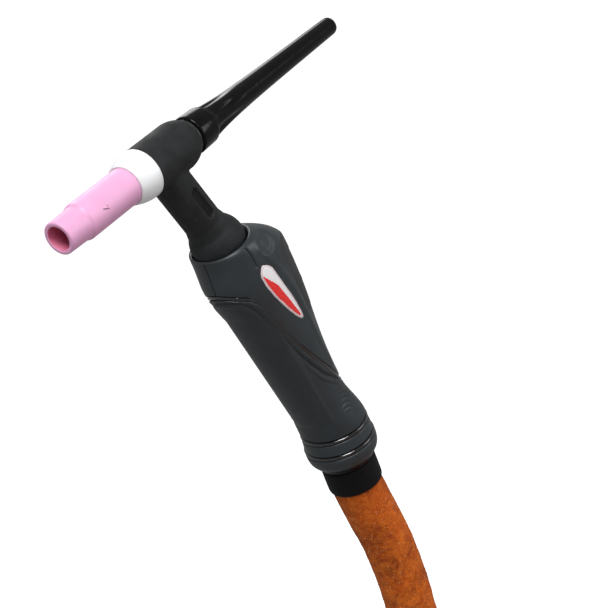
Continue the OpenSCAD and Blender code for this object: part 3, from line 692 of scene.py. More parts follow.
# Lines on the flank, as (x, z) in the handle's frame.
PANEL_SEAM = [(-11.9, 71.5), (-11.5, 67.7), (-11.5, 64.2), (-11.7, 60.3)]
FLANK_RIDGE = [(-5.3, 66), (-3.1, 58.6), (-0.2, 49.6), (2.2, 40.9), (3.6, 32), (4.6, 22), (5.4, 10),
               (6.2, -2), (7.4, -14)]
SCOOP_CENTRE = (0.6, 65.2)


def shell_relief(handle, z, a):
    """How far the hard shell's surface stands out at height z and angle a, in mm."""
    p = handle.point(z, a)
    side = abs(math.sin(math.radians(a)))
    relief = 0.0
    if side > 0.25:
        relief -= 0.75 * bump_at(near_curve(PANEL_SEAM, p.x, p.z), 0.6)
        ridge = near_curve(FLANK_RIDGE, p.x, p.z)
        relief += 0.4 * bump_at(ridge, 3.2) * smooth((side - 0.25) / 0.3)
        scoop = math.hypot((p.x - SCOOP_CENTRE[0]) / 6.4, (p.z - SCOOP_CENTRE[1]) / 5.2)
        relief -= 1.1 * smooth((1.15 - scoop) / 0.55)
    if abs(a % 360 - 180) < 12:
        relief -= 0.9 * bump_at(p.y, 0.6)
    if a % 360 < 12 or a % 360 > 348:
        relief -= 0.35 * bump_at(p.y, 0.5)
    return relief


RIPPLE_CENTRE = (-1.0, -47)
RIPPLE_PITCH = 2.3
# Angle from the front and height of the crease that runs below the skin's edge.
LIP_LINE = [(0, 50.4), (13, 50), (26, 48), (34, 45), (38.5, 41), (40.3, 36), (41, 28), (44.4, 16.7),
            (53, 6.8), (67, -4), (84, -14.5), (106, -23)]


def flank_line(handle, rows, steps=8):
    """Points on the left flank along a line of (angle from the front, height) rows."""
    points = []
    for (f0, z0), (f1, z1) in zip(rows, rows[1:]):
        for k in range(steps):
            t = k / steps
            points.append(handle.point(mix(z0, z1, t), 180 - mix(f0, f1, t)))
    points.append(handle.point(rows[-1][1], 180 - rows[-1][0]))
    return points


def line_finder(points):
    """A lookup of the nearest point on a line."""
    tree = KDTree(len(points))
    for k, p in enumerate(points):
        tree.insert(p, k)
    tree.balance()
    return tree


def fine_line(points, spacing=0.35):
    result = []
    for a, b in zip(points, points[1:]):
        steps = max(1, int((b - a).length / spacing))
        result += [a.lerp(b, k / steps) for k in range(steps)]
    return result + [points[-1]]


def skin_relief(handle, z, a, lip_line):
    """Ripples on the skin's flanks, a soft lip along its edge and the crease below it."""
    p = handle.point(z, a)
    edge = handle.skin_edge(a)
    left = Vector((p.x, abs(p.y), p.z))
    gap = lip_line.find(left)[2]
    relief = -0.55 * bump_at(gap, 1.1) + 0.25 * bump_at(gap - 1.9, 1.5)
    relief *= smooth((edge - z) / 1.2)
    if p.x < 13:
        reach = math.hypot((p.x - RIPPLE_CENTRE[0]) * 1.3, (p.z - RIPPLE_CENTRE[1]) * 0.85)
        inside = smooth((28 - reach) / 7) * smooth((reach - 5) / 3) * smooth((z + 46) / 4)
        inside *= smooth((gap - 2.5) / 2.5) * smooth((p.x + 13.5) / 5) * smooth((11.5 - p.x) / 4)
        inside *= smooth((edge - 3 - z) / 4)
        wave = 0.5 + 0.5 * math.cos(TAU * reach / RIPPLE_PITCH)
        relief += sizes().ripple / MM * wave * inside
    return relief


# ---- operators: head --------------------------------------------------------------------

class TORCH_OT_cover(bpy.types.Operator):
    """Moulded rubber over the head, the neck and its ball"""

    bl_idname = "torch.cover"
    bl_label = "Rubber cover"

    def execute(self, context):
        piece = NODES["torch_cover"].copy()
        piece.data = NODES["torch_cover"].data.copy()
        piece.name = "rubber_cover"
        piece.parent = None
        for key in list(piece.keys()):
            del piece[key]
        context.scene.collection.objects.link(piece)
        face_outwards(piece)
        remesh = piece.modifiers.new("Remesh", "REMESH")
        remesh.mode = "VOXEL"
        remesh.voxel_size = 0.00036
        soften = piece.modifiers.new("Soften", "SMOOTH")
        soften.factor = 0.5
        soften.iterations = 5
        bake_modifiers(piece)
        piece.data.shade_smooth()
        # paints shade into the neck's two recesses
        paint_recess_shade(piece)
        ride_as(piece, "torch", ["torch_cover"], finish("head_rubber"))
        return {"FINISHED"}


def paint_recess_shade(piece):
    """Marks the floor of the neck's two long recesses, where shade is painted near black on the rubber."""
    layer = piece.data.color_attributes.new("recess", "FLOAT_COLOR", "POINT")
    to_neck = NECK.inverted()
    for v in piece.data.vertices:
        p = to_neck @ (v.co / MM)
        along = max(0.0, abs(p.z - 26) - 6.4)
        deep = smooth((2.5 - math.hypot(p.x, along)) / 0.7) if abs(p.y) > 6 and abs(p.x) < 4 else 0.0
        layer.data[v.index].color = (deep, deep, deep, 1)


def bake_modifiers(piece):
    """Puts the piece's evaluated shape in its own mesh and drops its modifiers."""
    depsgraph = bpy.context.evaluated_depsgraph_get()
    mesh = bpy.data.meshes.new_from_object(piece.evaluated_get(depsgraph), depsgraph=depsgraph)
    piece.modifiers.clear()
    piece.data = mesh


class TORCH_OT_nozzle(bpy.types.Operator):
    """Ceramic nozzle with its slimmer front and size mark"""

    bl_idname = "torch.nozzle"
    bl_label = "Ceramic nozzle"

    def execute(self, context):
        s = sizes()
        main = s.nozzle / MM / 2
        bore = s.bore / MM / 2
        front = main - 0.95
        back = -19.4
        mouth = -67.0
        outline = [
            (bore, mouth + 0.1, 0.5), (front - 0.2, mouth, 0.8), (front + 0.15, mouth + 12.8, 0.5),
            (main, mouth + 13.9, 0.6), (main, back, 0.5), (6.0, back, 0.2), (6.0, back - 9.5, 0.2),
            (bore, back - 10.5, 0.5)]
        nozzle = lathe("ceramic_nozzle", outline, HEAD, segments=160)
        ride_as(nozzle, "nozzle", ["nozzle"], finish("ceramic"))
        nozzle.data.materials.append(finish("bore"))
        to_head = HEAD.inverted()
        # faces inside the bore get the darker bore finish, painted shade
        for face in nozzle.data.polygons:
            p = to_head @ (face.center / MM)
            if math.hypot(p.x, p.y) < bore + 0.15:
                face.material_index = 1
        mark = size_mark(main, -44.5)
        ride_as(mark, "nozzle", [], finish("ink"))
        return {"FINISHED"}


def size_mark(radius, z):
    """A printed size numeral, laid on the nozzle's flank."""
    numeral = bpy.data.curves.new("size_mark", "FONT")
    numeral.body = "7"
    numeral.size = 4.6
    numeral.extrude = 0.06
    numeral.align_x = "CENTER"
    numeral.align_y = "CENTER"
    holder = bpy.data.objects.new("size_mark_text", numeral)
    bpy.context.scene.collection.objects.link(holder)
    depsgraph = bpy.context.evaluated_depsgraph_get()
    mesh = bpy.data.meshes.new_from_object(holder.evaluated_get(depsgraph), depsgraph=depsgraph)
    bpy.data.objects.remove(holder)
    bm = bmesh.new()
    bm.from_mesh(mesh)
    bmesh.ops.remove_doubles(bm, verts=bm.verts, dist=1e-5)
    bmesh.ops.recalc_face_normals(bm, faces=bm.faces)
    facing = math.radians(-100)
    for v in bm.verts:
        a = facing + v.co.x / radius
        r = radius - 0.02 + v.co.z
        v.co = (HEAD @ Vector((r * math.cos(a), r * math.sin(a), z + v.co.y))) * MM
    bm.to_mesh(mesh)
    bm.free()
    piece = bpy.data.objects.new("size_mark", mesh)
    bpy.context.scene.collection.objects.link(piece)
    return piece


class TORCH_OT_gasket(bpy.types.Operator):
    """White heat shield gasket between nozzle and head"""

    bl_idname = "torch.gasket"
    bl_label = "Heat shield gasket"

    def execute(self, context):
        head_r = 11.7
        seat_r = sizes().nozzle / MM / 2 + 0.1
        outline = [(6.0, -10.1, 0.1), (head_r, -10.1, 0.3), (head_r, -13.4, 1.4), (head_r - 0.5, -16.4, 1.5),
                   (head_r - 1.3, -19.2, 1.2), (seat_r + 0.7, -21.8, 0.6), (seat_r, -21.8, 0.1),
                   (seat_r, -19.4, 0.1), (6.0, -19.4, 0.1)]
        piece = lathe("heat_gasket", outline, HEAD, segments=144, angle=60)
        ride_as(piece, "shield", ["heat_shield"], finish("gasket"))
        return {"FINISHED"}


CAP_FRONT = 24.4
COLLAR_LENGTH = 12.0
CAP_LENGTH = 121.5
FLUTES = 6
FLUTE_LENGTH = 26.0


class TORCH_OT_cap(bpy.types.Operator):
    """Long glossy back cap with its collar and grip flutes"""

    bl_idname = "torch.cap"
    bl_label = "Back cap"

    def execute(self, context):
        rows = []
        collar_end = CAP_FRONT + COLLAR_LENGTH
        tip = CAP_FRONT + CAP_LENGTH
        for z, r in ((CAP_FRONT - 8, 5.9), (CAP_FRONT - 7.6, 6.2), (CAP_FRONT - 0.15, 6.2), (CAP_FRONT, 6.35),
                     (CAP_FRONT, 8.6), (CAP_FRONT + 0.2, 9.05), (CAP_FRONT + 0.7, 9.35),
                     (CAP_FRONT + 1.4, 9.42), (collar_end - 1.3, 9.1), (collar_end - 0.5, 9.0),
                     (collar_end - 0.1, 8.75), (collar_end, 8.45)):
            rows.append((z, r, 0.0))
        count = 96
        for i in range(count + 1):
            t = i / count
            z = mix(collar_end + 0.05, tip - 2.2, t)
            along = z - collar_end
            depth = 1.5 * smooth((along - 0.3) / 2.4) * smooth((FLUTE_LENGTH + 3 - along) / FLUTE_LENGTH)
            rows.append((z, 4.6 + 3.5 * (0.36 * (1 - t) + 0.64 * math.exp(-6.5 * t)) + 0.25 * (1 - t), depth))
        for z, r in ((tip - 1.4, 4.52), (tip - 0.7, 4.3), (tip - 0.2, 3.8), (tip, 3.1), (tip, 0.4)):
            rows.append((z, r, 0.0))
        rows += [(tip - 4, 0.4, 0.0), (tip - 4, 1.7, 0.0), (CAP_FRONT - 8, 1.8, 0.0)]
        segments = 144
        points = []
        for z, r, depth in rows:
            for j in range(segments):
                a = TAU * j / segments
                lobe = 0.5 + 0.5 * math.cos(FLUTES * a)
                own = r - depth * lobe ** 1.6
                points.append((own * math.cos(a), own * math.sin(a), z))
        faces = grid_faces(len(rows), segments, wrap_rows=True)
        piece = mesh_piece("back_cap_body", points, faces, HEAD)
        face_outwards(piece)
        crease(piece, 45)
        ride_as(piece, "cap", ["back_cap"], finish("gloss_black"))
        return {"FINISHED"}


CARRIED = {
    "head_core": "brass", "neck_tube": "copper", "neck_seat": "collar", "collet_body": "brass",
    "collet": "copper", "electrode": "tungsten", "cap_seal": "seal", "switch_board": "board",
    "microswitches": "button", "cable_joint": "brass", "power_hose": "hose", "control_wires": "wire",
}


class TORCH_OT_inner_parts(bpy.types.Operator):
    """Finishes for the turned and moulded parts inside the head and the handle"""

    bl_idname = "torch.inner_parts"
    bl_label = "Inner parts"

    def execute(self, context):
        for node, name in CARRIED.items():
            dress(node, name)
        return {"FINISHED"}


def dress(node, finish_name):
    """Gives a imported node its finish."""
    piece = NODES[node]
    piece.data.materials.clear()
    piece.data.materials.append(finish(finish_name))


# ---- operators: handle ------------------------------------------------------------------

SHELL_ROWS = 150
# Angles round the handle, closer together at the front and back seams.
RING = sorted([360 * j / 288 for j in range(288)] + [
    seam + sign * step for seam in (180, 360) for sign in (-1, 1) for step in (0.2, 0.45, 0.75, 1.0)
    if seam + sign * step < 360] + [0.2, 0.45, 0.75, 1.0])
AROUND = len(RING)


def mouth_draw(z, a):
    """How far the shell's front draws in towards the neck's ball, so that its rim is thin there."""
    return 1.2 * smooth((z - 53) / 17) * smooth(-1.15 * math.cos(math.radians(a)))


class TORCH_OT_shell(bpy.types.Operator):
    """Hard handle shell, seamed front and back, round the palm and the neck's ball"""

    bl_idname = "torch.shell"
    bl_label = "Hard shell"

    def execute(self, context):
        handle = Handle()
        rows = []
        ring = RING
        under = 2.6
        rows.append([handle.point(handle.skin_edge(a) - under, a, 3.2) for a in ring])
        rows.append([handle.point(handle.skin_edge(a) - under, a, handle.skin + 0.1) for a in ring])
        rows.append([handle.point(handle.skin_edge(a) + 1.1, a, handle.skin + 0.1) for a in ring])
        for k in range(SHELL_ROWS + 1):
            t = k / SHELL_ROWS
            lip = 1.1 * (1 - min(1.0, k / 5)) ** 2
            row = []
            for a in ring:
                z = mix(handle.skin_edge(a) + 1.3, handle.mouth_z, t)
                fade = smooth((handle.mouth_z - z) / 1.2)
                row.append(handle.point(z, a, lip + mouth_draw(z, a) - fade * shell_relief(handle, z, a)))
            rows.append(row)
        for rise, inset in ((0.35, 0.2), (0.55, 0.8), (0.5, 1.4), (-0.1, 2.05), (-1.5, 2.15), (-12, 3.4)):
            rows.append([handle.point(handle.mouth_z, a, max(inset, min(2.05, inset + mouth_draw(72, a))))
                         + Vector((0, 0, rise)) for a in ring])
        points = [p for row in rows for p in row]
        piece = mesh_piece("hard_shell", points, grid_faces(len(rows), AROUND), HELD)
        face_outwards(piece)
        crease(piece, 50)
        ride_as(piece, "torch", ["handle_shell_left", "handle_shell_right"],
                finish("hard_shell"))
        return {"FINISHED"}


class TORCH_OT_skin(bpy.types.Operator):
    """Soft grip skin with its rippled flanks, and the glossy bead along its edge"""

    bl_idname = "torch.skin"
    bl_label = "Soft skin"

    def execute(self, context):
        handle = Handle()
        ring = RING
        count = 190
        lip_line = line_finder(fine_line(flank_line(handle, LIP_LINE)))
        rows = []
        rows.append([handle.point(handle.foot_z + 0.2, a, handle.skin) for a in ring])
        for k in range(count + 1):
            t = (k / count) ** 0.9
            row = []
            for a in ring:
                z = mix(handle.foot_z + 0.2, handle.skin_edge(a) - 0.9, t)
                lip = 0.9 * smooth(1 - (handle.skin_edge(a) - 0.9 - z) / 0.8) ** 2
                row.append(handle.point(z, a, lip - skin_relief(handle, z, a, lip_line)))
            rows.append(row)
        rows.append([handle.point(handle.skin_edge(a) - 0.8, a, handle.skin + 0.05) for a in ring])
        points = [p for row in rows for p in row]
        faces = grid_faces(len(rows), AROUND, wrap_rows=True)
        skin = mesh_piece("soft_skin", points, faces, HELD)
        face_outwards(skin)
        crease(skin, 60)
        ride_as(skin, "torch", ["grip_skin_sleeve"], finish("soft_skin"))
        path = [handle.point(handle.skin_edge(a) + 0.15, a, 0.95) for a in ring]
        bead = closed_bead("edge_bead", path, 0.95)
        ride_as(bead, "torch", [], finish("band"))
        return {"FINISHED"}


def closed_bead(name, path, radius, sides=14):
    """A round bead along a closed line in the handle's frame."""
    points = []
    count = len(path)
    for i, p in enumerate(path):
        forward = (path[(i + 1) % count] - path[i - 1]).normalized()
        out = Vector((p.x, p.y, 0)).normalized()
        out = (out - forward * out.dot(forward)).normalized()
        across = forward.cross(out)
        for k in range(sides):
            a = TAU * k / sides
            points.append(p + radius * (math.cos(a) * out + math.sin(a) * across))
    piece = mesh_piece(name, points, grid_faces(count, sides, wrap_rows=True), HELD)
    face_outwards(piece)
    return piece


BADGE_TOP = 59.0
BADGE_FOOT = 20.3
BADGE_ROWS = 90
BADGE_COLUMNS = 34


BADGE_MIDDLE = [(0, -9.2), (0.07, -8.7), (0.14, -8.3), (0.25, -7.8), (0.45, -6.1), (0.62, -4.2),
                (0.77, -2.6), (0.92, -0.85), (1, 0.15)]
BADGE_HALF = [(0, 0.05), (0.012, 0.9), (0.03, 1.8), (0.07, 3.1), (0.12, 4.0), (0.25, 4.3), (0.45, 4.1),
              (0.62, 3.7), (0.77, 3.0), (0.92, 1.9), (0.97, 1.25), (0.99, 0.75), (1, 0.05)]


def badge_middle(t):
    return table(BADGE_MIDDLE, t)


def badge_half(t):
    return table(BADGE_HALF, t)


class TORCH_OT_badges(bpy.types.Operator):
    """Leaf-shaped printed badge on each flank"""

    bl_idname = "torch.badges"
    bl_label = "Badges"

    def execute(self, context):
        handle = Handle()
        points = []
        faces = []
        paints = []
        for side in (-1, 1):
            start = len(points)
            for layer, rise in ((0, 0.42), (1, -0.6)):
                for i in range(BADGE_ROWS + 1):
                    t = 0.5 - 0.5 * math.cos(math.pi * i / BADGE_ROWS)
                    for j in range(BADGE_COLUMNS + 1):
                        v = mix(-1, 1, 0.5 - 0.5 * math.cos(math.pi * j / BADGE_COLUMNS))
                        p, paint = badge_point(handle, t, v, side, rise if layer == 0 else -0.6)
                        points.append(p)
                        paints.append(paint)
            size = (BADGE_ROWS + 1) * (BADGE_COLUMNS + 1)
            for face in grid_faces(BADGE_ROWS + 1, BADGE_COLUMNS + 1, wrap_columns=False):
                faces.append(tuple(start + k for k in face))
                faces.append(tuple(start + size + k for k in reversed(face)))
            rim = badge_rim()
            for k, here in enumerate(rim):
                after = rim[(k + 1) % len(rim)]
                faces.append((start + here, start + size + here, start + size + after, start + after))
        piece = mesh_piece("printed_badges", points, faces, HELD)
        layer = piece.data.color_attributes.new("print", "FLOAT_COLOR", "POINT")
        for k, paint in enumerate(paints):
            layer.data[k].color = (*paint, 1)
        face_outwards(piece)
        crease(piece, 55)
        ride_as(piece, "torch", ["badges"], finish("badge"))
        return {"FINISHED"}


def badge_rim():
    columns = BADGE_COLUMNS + 1
    top = list(range(columns))
    right = [i * columns + BADGE_COLUMNS for i in range(1, BADGE_ROWS + 1)]
    bottom = [BADGE_ROWS * columns + j for j in range(BADGE_COLUMNS - 1, -1, -1)]
    left = [i * columns for i in range(BADGE_ROWS - 1, 0, -1)]
    return top + right + bottom + left


def badge_point(handle, t, v, side, rise):
    """A badge point and its print colour: t runs from top to tip, v from front to back edge."""
    z = mix(BADGE_TOP, BADGE_FOOT, t)
    half = badge_half(t)
    x = badge_middle(t) + half * v
    a = handle.angle_at(x, z)
    edge = min(half * (1 - abs(v)), (t * (BADGE_TOP - BADGE_FOOT)) * 0.8, (1 - t) * 16)
    crown = 0.30 * smooth(edge / 0.9) if rise > 0 else 0
    groove = 0.14 * bump_at(edge - 1.05, 0.35) if rise > 0 else 0
    p = handle.point(z, side * a, -(rise - 0.3 + crown - groove) if rise > 0 else 0.9)
    if edge < 1.0:
        paint = (0.72, 0.60, 0.62)
    elif v > mix(-1.0, 0.22, smooth((t + 0.02) / 0.42)):
        paint = (0.88, 0.86, 0.87)
    else:
        paint = tuple(finishes().red)
    return p, paint


class TORCH_OT_switches(bpy.types.Operator):
    """Dark switch panel down the back, with its two buttons"""

    bl_idname = "torch.switches"
    bl_label = "Switch panel and buttons"

    def execute(self, context):
        handle = Handle()
        panel = switch_panel_surface(handle)
        ride_as(panel, "torch", ["switch_panel"], finish("panel"))
        for node, body, z in (("button_upper", "upper_button", 48.0), ("button_lower", "lower_button", 30.0)):
            button = push_button(handle, node + "_cap", z)
            ride_as(button, body, [node], finish("button"))
        return {"FINISHED"}


BUTTON_WIDTH = 12.0
BUTTON_LENGTH = 14.0
BUTTON_PROUD = 2.2
BUTTON_INNER_X = 15.0


def superellipse(count, half_a, half_b, power):
    loop = []
    for k in range(count):
        a = TAU * k / count
        c, s = math.cos(a), math.sin(a)
        loop.append((half_a * math.copysign(abs(c) ** (2 / power), c),
                     half_b * math.copysign(abs(s) ** (2 / power), s)))
    return loop


def push_button(handle, name, z):
    """A rounded rectangular button with a dished face and three thumb ridges."""
    face_x = handle.centre_x(z) + handle.half_depth(z) + BUTTON_PROUD
    count = 72
    rows = [(1.0, BUTTON_INNER_X, 0), (1.0, face_x - 1.3, 0), (0.985, face_x - 0.6, 0),
            (0.94, face_x - 0.15, 0), (0.88, face_x, 0), (0.78, face_x - 0.1, 1), (0.6, face_x - 0.3, 1),
            (0.42, face_x - 0.4, 1), (0.22, face_x - 0.45, 1), (0.04, face_x - 0.45, 1)]
    points = []
    for scale, x, dished in rows:
        for y, dz in superellipse(count, BUTTON_WIDTH / 2, BUTTON_LENGTH / 2, 4.5):
            ridge = 0.28 * (0.5 + 0.5 * math.cos(TAU * dz * scale / 3.2)) * dished
            points.append((x + ridge, y * scale, z + dz * scale))
    faces = grid_faces(len(rows), count)
    faces.append(tuple(reversed(range(count))))
    faces.append(tuple((len(rows) - 1) * count + k for k in range(count)))
    piece = mesh_piece(name, points, faces, HELD)
    face_outwards(piece)
    crease(piece, 50)
    return piece


PANEL_FOOT = 17.5
PANEL_TOP = 59.5
PANEL_HALF_ANGLE = 74.0


def switch_panel_surface(handle):
    """The panel's skin: a rounded plate over the back, cut through at the buttons."""
    rows = 150
    columns = 150
    points = []
    kept = {}
    for i in range(rows + 1):
        for j in range(columns + 1):
            z = mix(PANEL_FOOT, PANEL_TOP, i / rows)
            a = mix(-PANEL_HALF_ANGLE, PANEL_HALF_ANGLE, j / columns)
            edge = min(z - PANEL_FOOT, PANEL_TOP - z, (PANEL_HALF_ANGLE - abs(a)) * 0.3)
            rise = mix(-0.6, 0.14, smooth(edge / 1.3))
            p = handle.point(z, a, -rise)
            hole = False
            for button_z in (48.0, 30.0):
                u = abs(p.y) / (BUTTON_WIDTH / 2 + 0.5)
                w = abs(p.z - button_z) / (BUTTON_LENGTH / 2 + 0.5)
                gap = (u ** 4.5 + w ** 4.5) ** (1 / 4.5)
                if p.x > 5:
                    hole = hole or gap < 1.0
                    p = p + Vector((0.35 * bump_at(gap - 1.14, 0.10), 0, 0))
            kept[(i, j)] = not hole
            points.append(p)
    faces = []
    for i in range(rows):
        for j in range(columns):
            if all(kept[k] for k in ((i, j), (i + 1, j), (i, j + 1), (i + 1, j + 1))):
                base = i * (columns + 1) + j
                faces.append((base, base + 1, base + columns + 2, base + columns + 1))
    piece = mesh_piece("switch_panel_skin", points, faces, HELD)
    bm = bmesh.new()
    bm.from_mesh(piece.data)
    loose = [v for v in bm.verts if not v.link_faces]
    bmesh.ops.delete(bm, geom=loose, context="VERTS")
    snap_to_windows(bm)
    bmesh.ops.recalc_face_normals(bm, faces=bm.faces)
    bm.to_mesh(piece.data)
    bm.free()
    thick = piece.modifiers.new("Thickness", "SOLIDIFY")
    thick.thickness = 0.0014
    thick.offset = -1
    bake_modifiers(piece)
    crease(piece, 50)
    return piece


def snap_to_windows(bm):
    """Moves the ragged rim of each button window on to its rounded outline."""
    back = HELD.inverted()
    for v in bm.verts:
        if not v.is_boundary:
            continue
        p = back @ (v.co / MM)
        for button_z in (48.0, 30.0):
            half_w = BUTTON_WIDTH / 2 + 0.4
            half_l = BUTTON_LENGTH / 2 + 0.4
            gap = ((abs(p.y) / half_w) ** 4.5 + (abs(p.z - button_z) / half_l) ** 4.5) ** (1 / 4.5)
            if p.x > 5 and gap < 1.15:
                p.y /= gap
                p.z = button_z + (p.z - button_z) / gap
                v.co = (HELD @ p) * MM


class TORCH_OT_screws(bpy.types.Operator):
    """Recessed shell screws"""

    bl_idname = "torch.screws"
    bl_label = "Shell screws"

    def execute(self, context):
        dress("shell_screws", "blackened")
        return {"FINISHED"}


# ---- operators: tail --------------------------------------------------------------------

class TORCH_OT_tail(bpy.types.Operator):
    """Tail ring with its two glossy bands"""

    bl_idname = "torch.tail"
    bl_label = "Tail ring and bands"

    def execute(self, context):
        r = sizes().ring / MM / 2
        outline = [
            (13.2, 16.5, 0.2), (r - 5.3, 16.5, 0.2), (r - 5.3, 14.1, 0.1), (r - 1.7, 14.1, 0.5),
            (r - 1.6, 13.7, 0.4), (r - 2.4, 13.3, 0.3), (r - 2.4, 11.4, 0.3), (r - 1.0, 11.0, 0.6),
            (r - 0.7, 7.5, 2.0), (r - 0.5, 5.2, 0.6), (r - 1.4, 4.8, 0.3), (r - 1.4, 2.8, 0.3),
            (r - 0.05, 2.4, 0.7), (r, 0.4, 1.2), (r - 0.4, -2.4, 1.5), (r - 1.3, -4.3, 1.0),
            (r - 2.5, -5.5, 0.7), (15.8, -5.5, 0.3), (16.72, 0, 1.0), (15.9, 5.2, 1.0), (13.2, 10.3, 0.5)]
        ring = lathe("tail_ring_body", outline, TAIL, segments=192, angle=50)
        ride_as(ring, "torch", ["tail_ring"], finish("hard_shell"))
        for name, node, z, radius in (("front_band", "tail_band_front", 12.35, r - 2.0),
                                      ("rear_band", "tail_band_rear", 3.8, r - 1.15)):
            path = [Vector((radius * math.cos(TAU * k / 192), radius * math.sin(TAU * k / 192), z))
                    for k in range(192)]
            band = round_band(name, path, 1.15, 0.95)
            ride_as(band, "torch", [node], finish("band"))
        return {"FINISHED"}


def round_band(name, path, out, along, sides=20):
    """A closed ring of oval section, out from the axis and along it."""
    points = []
    for p in path:
        away = Vector((p.x, p.y, 0)).normalized()
        for k in range(sides):
            a = TAU * k / sides
            points.append(p + away * out * math.cos(a) + Vector((0, 0, along * math.sin(a))))
    piece = mesh_piece(name, points, grid_faces(len(path), sides, wrap_rows=True), TAIL)
    face_outwards(piece)
    return piece


class TORCH_OT_knuckle(bpy.types.Operator):
    """Glossy knuckle ball and the matte cable collar behind it"""

    bl_idname = "torch.knuckle"
    bl_label = "Knuckle and collar"

    def execute(self, context):
        r = sizes().ring / MM / 2 - 2.1
        arc = [(r * math.cos(t), r * math.sin(t), 0.05)
               for t in [mix(math.asin(9.4 / r), -math.asin(9.2 / r), k / 18) for k in range(19)]]
        collar = sizes().lead / MM / 2 + 0.8
        foot = [(collar - 2.1, -9.3, 0.1), (collar - 2.1, -18, 0.1), (9.5, -18, 0.3)]
        outline = [(9.5, 9.4, 0.3)] + arc + foot
        ball = lathe("knuckle_ball_body", outline, TAIL, segments=144)
        ride_as(ball, "knuckle", ["knuckle_ball"], finish("knuckle"))
        lead_r = sizes().lead / MM / 2 + 0.1
        outline = [(collar - 2.05, -9.2, 0.1), (collar - 0.5, -9.2, 0.5), (collar, -9.9, 0.5),
                   (collar + 0.05, -16, 1), (collar, -22.2, 0.5), (collar - 0.25, -23, 0.3),
                   (lead_r, -23, 0.1), (lead_r, -18, 0.1), (collar - 2.05, -18, 0.1)]
        ring = lathe("cable_collar_ring", outline, TAIL, segments=144)
        ride_as(ring, "knuckle", ["cable_collar"], finish("collar"))
        return {"FINISHED"}


# ---- operators: lead --------------------------------------------------------------------

SHELF_Z = -260.0
LEAD_Z = -245.0
COIL_CENTRE = Vector((250, -168.5, 0))
COIL_OUTER = 168.5
COIL_INNER = 141.5
RUN_ROUTE = [
    (61, 0, -80), (68, 0, -88.5), (76, 0, -98), (82, 0, -106), (88, 0, -115), (93, 0, -123),
    (98, 0, -132), (105, 0, -147), (115, 0, -166), (128, 0, -185), (145, 0, -203), (166, 0, -219),
    (191, 0, -233), (220, 0, -242)]
TAIL_ROUTE = [
    (215, -337, -221.5), (185, -337, -229), (163, -337, -235.5), (150, -337, -239.5), (137, -337, -242.8),
    (124, -337, -244.6), (110, -337, -245), (88, -337, -245)]
POWER_ROUTE = [
    (87.9, -341, -246), (81, -341, -246), (72, -341.1, -245.4), (62, -341.6, -243.3), (54, -342, -242.2),
    (46, -342, -242), (36.1, -342, -242)]
GAS_ROUTE = [
    (87.9, -330.5, -249), (82, -330.5, -249), (72, -329.6, -250.4), (60, -326.2, -253.2),
    (47, -320.5, -255), (34, -313, -255.6), (22, -306.5, -254.6), (11, -303, -251.7), (2, -302, -250.2),
    (-3, -302, -250), (-9.9, -302, -250)]
CONTROL_ROUTE = [
    (87.9, -333.5, -238), (82, -333.5, -238), (72, -331.2, -238.8), (60, -325.4, -241.2),
    (47, -315.8, -244.6), (35, -304, -248.6), (24, -293, -252.4), (13, -284.2, -254.2), (3, -279.4, -252.9),
    (-4, -278, -251.6), (-9, -278, -251.5), (-13.9, -278, -251.5)]


def coil_route():
    """The wound turns: in along +X, one layer outwards to inwards, one back, out along -X."""
    turns = 3.5
    steps = int(turns * 60)
    pitch = COIL_OUTER - COIL_INNER
    points = []
    for k in range(steps + 1):
        t = turns * k / steps
        a = math.pi / 2 - TAU * t
        shift = smooth((t - 0.75) / 0.5) - smooth((t - 2.75) / 0.5)
        lift = smooth((t - 1.70) / 0.5)
        r = COIL_OUTER - pitch * shift
        points.append((COIL_CENTRE.x + r * math.cos(a), COIL_CENTRE.y + r * math.sin(a), LEAD_Z + 27 * lift))
    return points


def resample(points, spacing):
    """Points evenly spaced along a smooth curve through the given ones."""
    points = [Vector(p) for p in points]
    fine = []
    for i in range(len(points) - 1):
        p0 = points[max(0, i - 1)]
        p1, p2 = points[i], points[i + 1]
        p3 = points[min(len(points) - 1, i + 2)]
        steps = max(2, int((p2 - p1).length / 1.0))
        for k in range(steps):
            t = k / steps
            fine.append(0.5 * (2 * p1 + (p2 - p0) * t + (2 * p0 - 5 * p1 + 4 * p2 - p3) * t * t
                               + (3 * p1 - p0 - 3 * p2 + p3) * t ** 3))
    fine.append(points[-1])
    total = sum((b - a).length for a, b in zip(fine, fine[1:]))
    count = max(2, round(total / spacing))
    step = total / count
    result = [fine[0]]
    travelled = 0.0
    goal = step
    for a, b in zip(fine, fine[1:]):
        length = (b - a).length
        while travelled + length >= goal - 1e-6 and len(result) < count:
            result.append(a.lerp(b, (goal - travelled) / length))
            goal += step
        travelled += length
    result.append(fine[-1])
    return result, total


def tube_points(path, radius, sides, swell=None):
    """Rings of a tube along a path; swell(s, a, p) adds to the radius at each point."""
    rings = []
    travelled = 0.0
    side = Vector((0, 1, 0))
    for i, p in enumerate(path):
        if i:
            travelled += (p - path[i - 1]).length
        forward = (path[min(i + 1, len(path) - 1)] - path[max(i - 1, 0)]).normalized()
        side = (side - forward * side.dot(forward)).normalized()
        up = side.cross(forward)
        ring = []
        for k in range(sides):
            a = TAU * k / sides
            away = math.cos(a) * side + math.sin(a) * up
            own = radius + (swell(travelled, a, p + away * radius) if swell else 0)
            ring.append(p + away * own)
        rings.append(ring)
    return rings


def tube_piece(name, path, radius, sides, swell=None):
    rings = tube_points(path, radius, sides, swell)
    points = [p for ring in rings for p in ring]
    faces = grid_faces(len(rings), sides)
    faces.append(tuple(reversed(range(sides))))
    faces.append(tuple((len(rings) - 1) * sides + k for k in range(sides)))
    piece = mesh_piece(name, points, faces)
    face_outwards(piece)
    crease(piece, 70)
    return piece


def tail_point(z):
    return TAIL @ Vector((0, 0, z))


